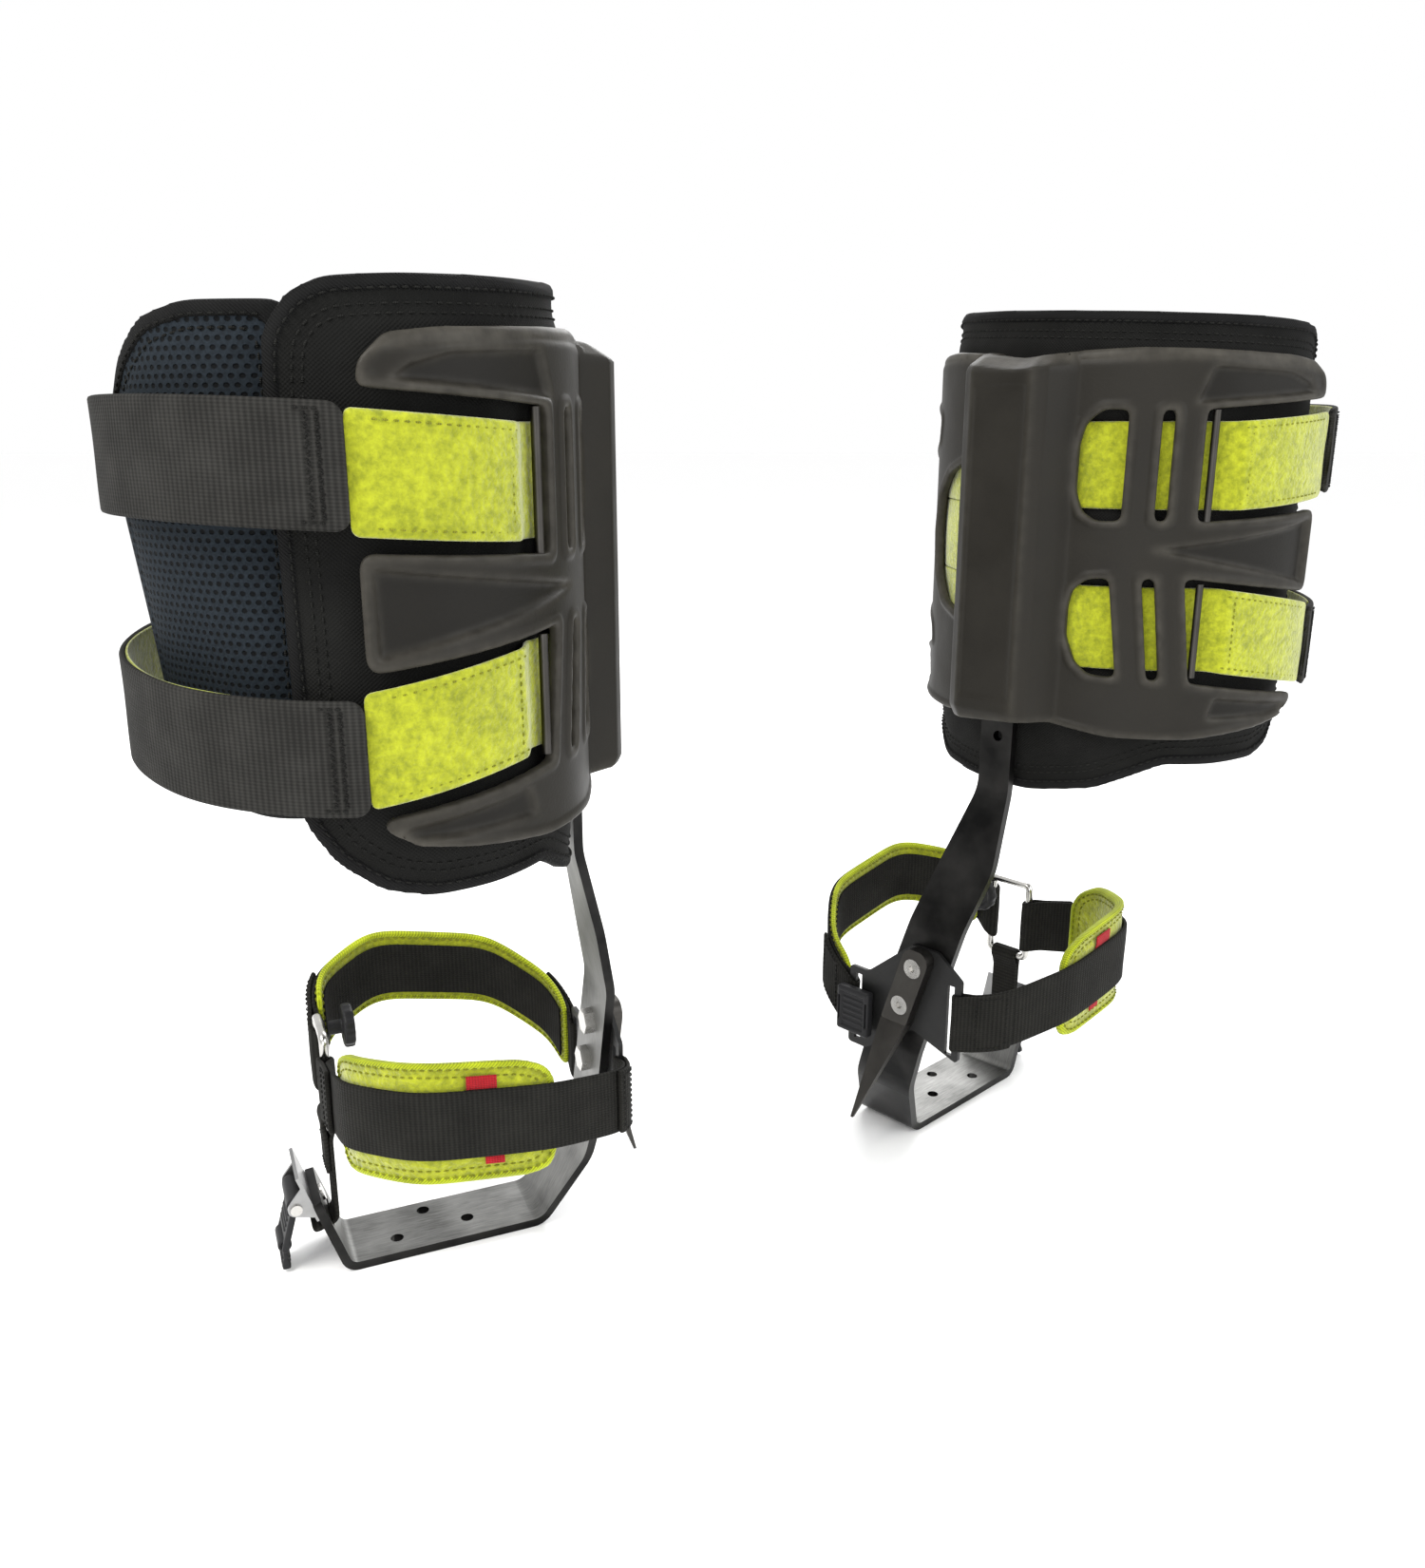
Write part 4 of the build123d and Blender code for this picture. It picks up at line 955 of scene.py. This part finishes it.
build_shell()
build_side_patch()
build_pad()
build_tongue()
build_base_strap("upper", 356.5, -0.076)
build_base_strap("lower", 286.5, 0.17)
build_closing_strap("upper", lambda x, y: 359.5 - 0.06 * (x - CX) - 0.02 * (y - CY))
build_closing_strap("lower", lambda x, y: 281.0 + 0.06 * (y - CY))

# ---- foot straps


def rounded_path(points, radii, pitch=0.7):
    """Dense points along a polyline whose inner corners are rounded."""
    pts = np.asarray(points, float)
    out = [pts[0]]
    for i, r in enumerate(radii, 1):
        a, b = unit(pts[i - 1] - pts[i]), unit(pts[i + 1] - pts[i])
        half = math.acos(float(np.clip(a @ b, -1, 1))) / 2
        reach = r / math.tan(half)
        centre = pts[i] + unit(a + b) * r / math.sin(half)
        p, q = pts[i] + a * reach - centre, pts[i] + b * reach - centre
        turn = math.atan2(p[0] * q[1] - p[1] * q[0], p @ q)
        for t in np.linspace(0, turn, 24):
            out.append(centre + np.array([p[0] * math.cos(t) - p[1] * math.sin(t),
                                          p[0] * math.sin(t) + p[1] * math.cos(t)]))
    out.append(pts[-1])
    return resample(np.array(out), pitch)


def resample(points, pitch):
    s = arc_length(points)
    at = np.linspace(0, s[-1], int(s[-1] / pitch) + 2)
    return np.column_stack([np.interp(at, s, points[:, k]) for k in range(points.shape[1])])


def smooth_line(points, sigma):
    reach = int(3 * sigma) + 1
    kernel = np.exp(-0.5 * (np.arange(-reach, reach + 1) / sigma) ** 2)
    kernel /= kernel.sum()
    ends = np.pad(points, [(reach, reach), (0, 0)], mode="reflect", reflect_type="odd")
    return np.column_stack([np.convolve(ends[:, k], kernel, "valid") for k in range(points.shape[1])])


def left_normals(path):
    d = unit(np.gradient(path, axis=0))
    return np.column_stack([-d[:, 1], d[:, 0]])


class Track:
    """A wall on a plan line, addressed by distance u, height z above the line's slope and depth w."""

    def __init__(self, path, sign, slope):
        path = smooth_line(resample(path, 0.7), 10.0)
        self.path, self.slope = path, slope
        self.s = arc_length(path)
        self.normals = unit(smooth_line(left_normals(path), 2.5)) * sign

    def plan(self, u, w):
        p = np.stack([np.interp(u, self.s, self.path[:, k]) for k in (0, 1)], -1)
        n = np.stack([np.interp(u, self.s, self.normals[:, k]) for k in (0, 1)], -1)
        return p + n * np.asarray(w)[..., None]

    def place(self, u, z, w):
        p = self.plan(u, w)
        return np.concatenate([p, (z + self.slope(p[..., 0], p[..., 1]))[..., None]], -1)

    def out(self, u):
        n = self.plan(u, np.ones(np.shape(u))) - self.plan(u, np.zeros(np.shape(u)))
        return np.concatenate([n, np.zeros(n.shape[:-1] + (1,))], -1)


LAP = 23.0  # the foot straps' ends are stitched back this far
ON_LAP = 3.3  # stitches stand this far out from the strap's middle


def build_foot_strap(name, track, start_loop, end_loop, seed):
    """Webbing that folds round a bar at each end and is stitched back to itself."""
    full = track.s[-1]
    lap = lambda a, b: track.plan(np.linspace(a, b, 60), np.full(60, 2.15))
    run = track.plan(np.linspace(6.0, full - 6.0, 400), np.zeros(400))
    plan = np.concatenate([lap(LAP, 5.5), start_loop, run, end_loop, lap(full - 5.5, full - LAP)])
    plan = smooth_line(resample(plan, 0.55), 1.7)
    mid = np.column_stack([plan, track.slope(plan[:, 0], plan[:, 1])])
    outs = np.column_stack([left_normals(plan), np.zeros(len(plan))])
    rng = np.random.default_rng(seed)
    a, b = rng.uniform(0, 6.28, 2)
    bow = lambda at, across: 0.22 * math.sin(at / 15 + a) + 0.1 * np.cos(across / 5 + at / 21 + b)
    half_w = rounded_ends(arc_length(mid), 14.9, 1.2, 1.2)
    add_piece(f"{name}_webbing", *FOOT_TAPE,
              strip(mid, UP, outs, half_w, 0.95, across=11, wave=bow), nodes=(f"{name}_strap",))
    boxes = ((7.5, LAP - 2.5), (full - 7.5, full - LAP + 2.5))
    lines = [(np.full(40, u), np.linspace(-13.2, 13.2, 40)) for box in boxes for u in box]
    lines += [(np.linspace(min(box), max(box), 30), np.full(30, z)) for box in boxes for z in (-13.0, 13.0)]
    threads = [stitches(track.place(u, z, np.full(len(u), ON_LAP)), track.out(u), **SEWN_FOOT)
               for u, z in lines]
    add_piece(f"{name}_stitching", *FOOT_THREAD, merge(*threads))


TAG_X = 2.0  # middle of the label, mm in the spur's own frame
FOOT_Y = -22.0  # middle of the foot between heel and instep straps
LIME_PAD = {"body": "spurs", "slot": "lime_fabric", "looks": ("lime", "lime_edge", "thread_lime")}


def build_heel_tag(name, heel, u, line, ups, half_w, half_t, nodes=()):
    """One end of the small label that is folded over the heel pad's edge; line gives depth and height."""
    mid = np.array([heel.place(np.array(u), np.array(z), np.array(w)) for w, z in line])
    outs = unit(np.cross(ups, unit(np.gradient(mid, axis=0))))
    shape = strip(mid, ups, outs, half_w, half_t, across=5)
    add_piece(name, "spurs", "label_red", "label", shape, nodes=nodes)


def build_foot_straps():
    heel = rounded_path([(72, -62.2), (67, -81), (31, -96), (-25, -96), (-49, -68), (-49, -23.2)],
                        (8, 20, 22, 20))
    heel = Track(heel, -1, lambda x, y: 89 - 0.13 * (x - 72) - 0.245 * (y + 59))
    toe = rounded_path([(72, 10.5), (68, 30), (41, 52), (-18, 52), (-48, 28), (-49, 7.2)], (10, 24, 26, 14))
    toe = Track(toe, 1, lambda x, y: 77 - 0.2 * (x - 72) + 0.6 * (y - 7.3))
    for track in (heel, toe):  # normals point away from the foot
        middle = track.s[-1] / 2
        near, far = (abs(track.plan(middle, w)[1] - FOOT_Y) for w in (0.0, 1.0))
        if far < near:
            track.normals *= -1
    start = np.array([(74.1, -61), (74.25, -57.6), (72, -55.7), (69.75, -57.6), (69.9, -61)])
    end = np.array([(-45.8, -22), (-46.3, -17.9), (-49, -16.7), (-51.7, -17.9), (-52.2, -22)])
    build_foot_strap("heel", heel, start, end, 21)
    start = np.array([(74.1, 9.3), (74.25, 5.9), (72, 4.0), (69.75, 5.9), (69.9, 9.3)])
    end = np.array([(-45.8, 6), (-46.3, 1.9), (-49, 0.7), (-51.7, 1.9), (-52.2, 6)])
    build_foot_strap("instep", toe, start, end, 22)
    back = [u for u in heel.s if heel.plan(u, 0.0)[0] < 33 and heel.plan(u, 0.0)[1] < -50]
    a, b = back[0], back[-1]
    outline = [(a, 17), (a + 4, 22), (a + 14, 25), ((a + b) / 2, 26), (b - 14, 25.5), (b - 4, 22), (b, 16),
               (b, -16), (b - 4, -22), (b - 14, -25.5), ((a + b) / 2, -26), (a + 12, -25.5), (a + 3, -23),
               (a, -17)]
    bound_pad("heel_cushion", wall=heel, outline=outline, middle=-3.75, half=2.4, nodes=("heel_pad",),
              fill=0.5, seed=7, binding=3.4, step=1.3, rows=(5.4,), swell=0.25, w_reach=2.0, **LIME_PAD)
    front = [u for u in toe.s if toe.plan(u, 0.0)[1] > 13]
    a, b = front[0], front[-1]
    outline = [(a, 14), (a + 4, 16.8), (b - 4, 16.8), (b, 14), (b, -14), (b - 4, -16.8), (a + 4, -16.8),
               (a, -14)]
    bound_pad("instep_felt", wall=toe, outline=outline, middle=-2.5, half=1.15, nodes=("instep_lining",),
              fill=None, seed=8, binding=2.2, step=1.1, rows=(), swell=0.12, w_reach=1.4, **LIME_PAD)
    u = np.linspace(a + 3, b - 3, 220)
    mid = toe.place(u, np.zeros(220), np.full(220, -4.3))
    add_piece("instep_backing", *FOOT_TAPE, strip(mid, UP, toe.out(u), 12.6, 0.45))
    u = min(back, key=lambda t: abs(heel.plan(t, 0.0)[0] - TAG_X))
    high = np.array([(-1.15, 13.5), (-0.75, 15.5), (-0.55, 17.5), (-0.6, 20.6)])
    low = np.array([(-0.8, -18.6), (-0.8, -17.0), (-1.1, -14.0)])
    ups = unit(np.array((1.0, 0.0, -0.13)))
    build_heel_tag("heel_tag", heel, u, smooth_line(resample(high, 0.4), 1.5), ups, 6.2, 0.3, ("heel_label",))
    build_heel_tag("heel_tag_low", heel, u - 4, resample(low, 0.5), ups, 4.0, 0.28)


SIDE_Y = -7.0


def build_side_strap():
    """Narrow webbing folded round the ring and led down through the lug's slot, in the plane y = SIDE_Y."""
    down = rounded_path([(-49, 69), (-49, 25.75), (-59.99, 22.14)], (3,), 0.6)
    loop = np.array([(-51.1, 50.0), (-51.2, 69), (-52.1, 74), (-51.4, 77.2), (-49, 78.2), (-46.6, 77.2),
                     (-45.8, 74), (-47.8, 70), (-49, 66.0)])
    path = smooth_line(resample(np.concatenate([loop, down[6:]]), 0.6), 1.6)
    mid, outs = (np.insert(xz, 1, y, axis=1) for xz, y in ((path, SIDE_Y), (left_normals(path), 0.0)))
    shape = strip(mid, (0.0, 1.0, 0.0), outs, rounded_ends(arc_length(mid), 7.9, 1, 3), 0.95)
    add_piece("side_webbing", *FOOT_TAPE, shape, nodes=("side_strap",))
    threads = []
    for z in (66.0, 52.5):
        line = np.column_stack([np.full(20, -52.2), np.linspace(SIDE_Y - 7, SIDE_Y + 7, 20), np.full(20, z)])
        threads.append(stitches(line, (-1.0, 0.0, 0.0), pitch=2.4, length=1.8, radius=0.36))
    add_piece("side_stitching", *FOOT_THREAD, merge(*threads))


# ---- moulded hardware


def carve(field, low, high, step):
    """Mesh of a signed distance function sampled on a small grid."""
    axes = [np.arange(a, b + step, step) for a, b in zip(low, high)]
    return surface_nets(field(*np.meshgrid(*axes, indexing="ij")), np.array(low, float), np.full(3, step))


def add_plastic(name, body, verts, faces, node):
    add_piece(name, body, "plastic_black", "black_plastic", (verts, faces, None), nodes=(node,))


def rounded_box(x, y, z, half, r):
    q = [np.abs(v) - h + r for v, h in zip((x, y, z), half)]
    far = np.sqrt(sum(np.maximum(v, 0) ** 2 for v in q))
    return far + np.minimum(np.maximum(np.maximum(q[0], q[1]), q[2]), 0) - r


def build_instep_block():
    """Adjuster on the instep strap: a rounded frame with a ribbed dish and two strap slots."""

    def field(x, y, z):
        x, y, z = x - 78.15, y - 1.3, z - 77.0
        body = rounded_box(x, y, z, (2.75, 10.5, 12.5), 1.6)
        dish = rounded_box(x - 3.4, y, z, (1.6, 7.6, 9.6), 0.8)
        ridges = rounded_box(x - 1.6, y, (z + 1.6) % 3.2 - 1.6, (0.9, 6.6, 0.75), 0.6) + 0 * z
        ridges = np.where(np.abs(z) < 8.2, ridges, 9.0)
        body = smooth_max(body, -dish, 0.5)
        body = np.minimum(body, ridges)
        slots = np.minimum(*(rounded_box(x, y + side * 8.9, z, (6, 0.55, 7.0), 0.5) for side in (-1, 1)))
        return smooth_max(body, -slots, 0.3)

    add_plastic("instep_adjuster", "spurs", *carve(field, (74.6, -10, 63.7), (81.8, 12.7, 90.3), 0.42),
                "instep_block")


def build_ankle_stud():
    """Button with a scalloped rim and a dished face, on a stem through the instep strap."""

    def field(x, y, z):
        y, z = y - 4.0, z - 112.0
        r, t = np.hypot(y, z), np.arctan2(z, y)
        rim = 9.75 + 0.25 * np.cos(12 * t)
        head = smooth_max(r - rim, np.abs(x + 35.8) - 2.5, 1.6)
        dish = smooth_max(r - 6.4, -33.9 - x, 0.6)
        head = smooth_max(head, -dish, 0.6)
        boss = smooth_max(r - 3.0, np.abs(x + 35.6) - 2.0, 0.8)
        stem = smooth_max(r - 3.33, np.abs(x + 41.2) - 3.6, 0.4)
        return np.minimum(np.minimum(head, boss), stem)

    add_plastic("ankle_button", "spurs", *carve(field, (-45.8, -7.2, 100.8), (-32.2, 15.2, 123.2), 0.45),
                "ankle_stud")


LEVER_PIN = np.array([-66.41, 35.29])  # x and z of the lever's pin and of the bar at its end
LEVER_END = np.array([-72.48, 14.03])


def build_lever():
    """Buckle lever with a hub on its pin, grip ribs and a bar, and the pull tab that hangs on the bar."""
    pin, end = LEVER_PIN, LEVER_END
    length = float(np.linalg.norm(end - pin))
    down = (end - pin) / length
    out = np.array([down[1], -down[0]])

    def field(a, y, b):
        body = rounded_box(a - length / 2, y, b, (length / 2, 10.9, 1.5), 1.0)
        hub = smooth_max(np.hypot(a, b) - 4.0, np.abs(y) - 10.9, 0.8)
        body = np.minimum(body, hub)
        grips = rounded_box((a - 9.0 + 1.4) % 2.8 - 1.4, y, b - 1.45, (0.62, 8.2, 0.75), 0.5)
        body = np.minimum(body, np.where(np.abs(a - 10.4) < 4.3, grips, 9.0))
        body = smooth_max(body, -rounded_box(a - length - 1, y, b, (5.0, 7.9, 9.0), 0.8), 0.4)
        bar = smooth_max(np.hypot(a - length, b) - 1.5, np.abs(y) - 10.9, 0.4)
        body = np.minimum(body, bar)
        return np.maximum(body, 1.6 - np.hypot(a, b))

    v, f = carve(field, (-5, -12, -5), (25, 12.4, 5.2), 0.42)
    xz = pin + v[:, :1] * down + v[:, 2:] * out
    add_plastic("lever_body", "lever", np.insert(xz, 1, v[:, 1], axis=1), f, "buckle_lever")

    def tab(x, y, z):
        x, z = x - end[0], z - end[1]
        width = 7.45 - 0.8 * smooth_step(-z, 4.0, 8.0) * (1 - smooth_step(-z, 8.0, 11.5))
        thick = 1.1 + 0.75 * smooth_step(-z, 7.0, 11.0)
        blade = smooth_max(smooth_max(np.abs(x) - thick, np.abs(y) - width, 0.8), np.abs(z + 6.6) - 5.8, 0.8)
        eye = smooth_max(np.hypot(x, z) - 3.1, np.abs(y) - 7.45, 0.8)
        grips = rounded_box(np.abs(x) - 1.7, y, (z + 7.2 + 1.1) % 2.2 - 1.1, (0.45, 5.6, 0.5), 0.35)
        body = np.minimum(np.minimum(blade, eye), np.where(np.abs(z + 9.0) < 2.6, grips, 9.0))
        return np.maximum(body, 1.65 - np.hypot(x, z))

    v, f = carve(tab, (end[0] - 4.2, -8.6, 0.6), (end[0] + 4.4, 8.9, 18.4), 0.4)
    add_plastic("tab_grip", "tab", v, f, "pull_tab")


build_foot_straps()
build_side_strap()
build_lever()
build_instep_block()
build_ankle_stud()
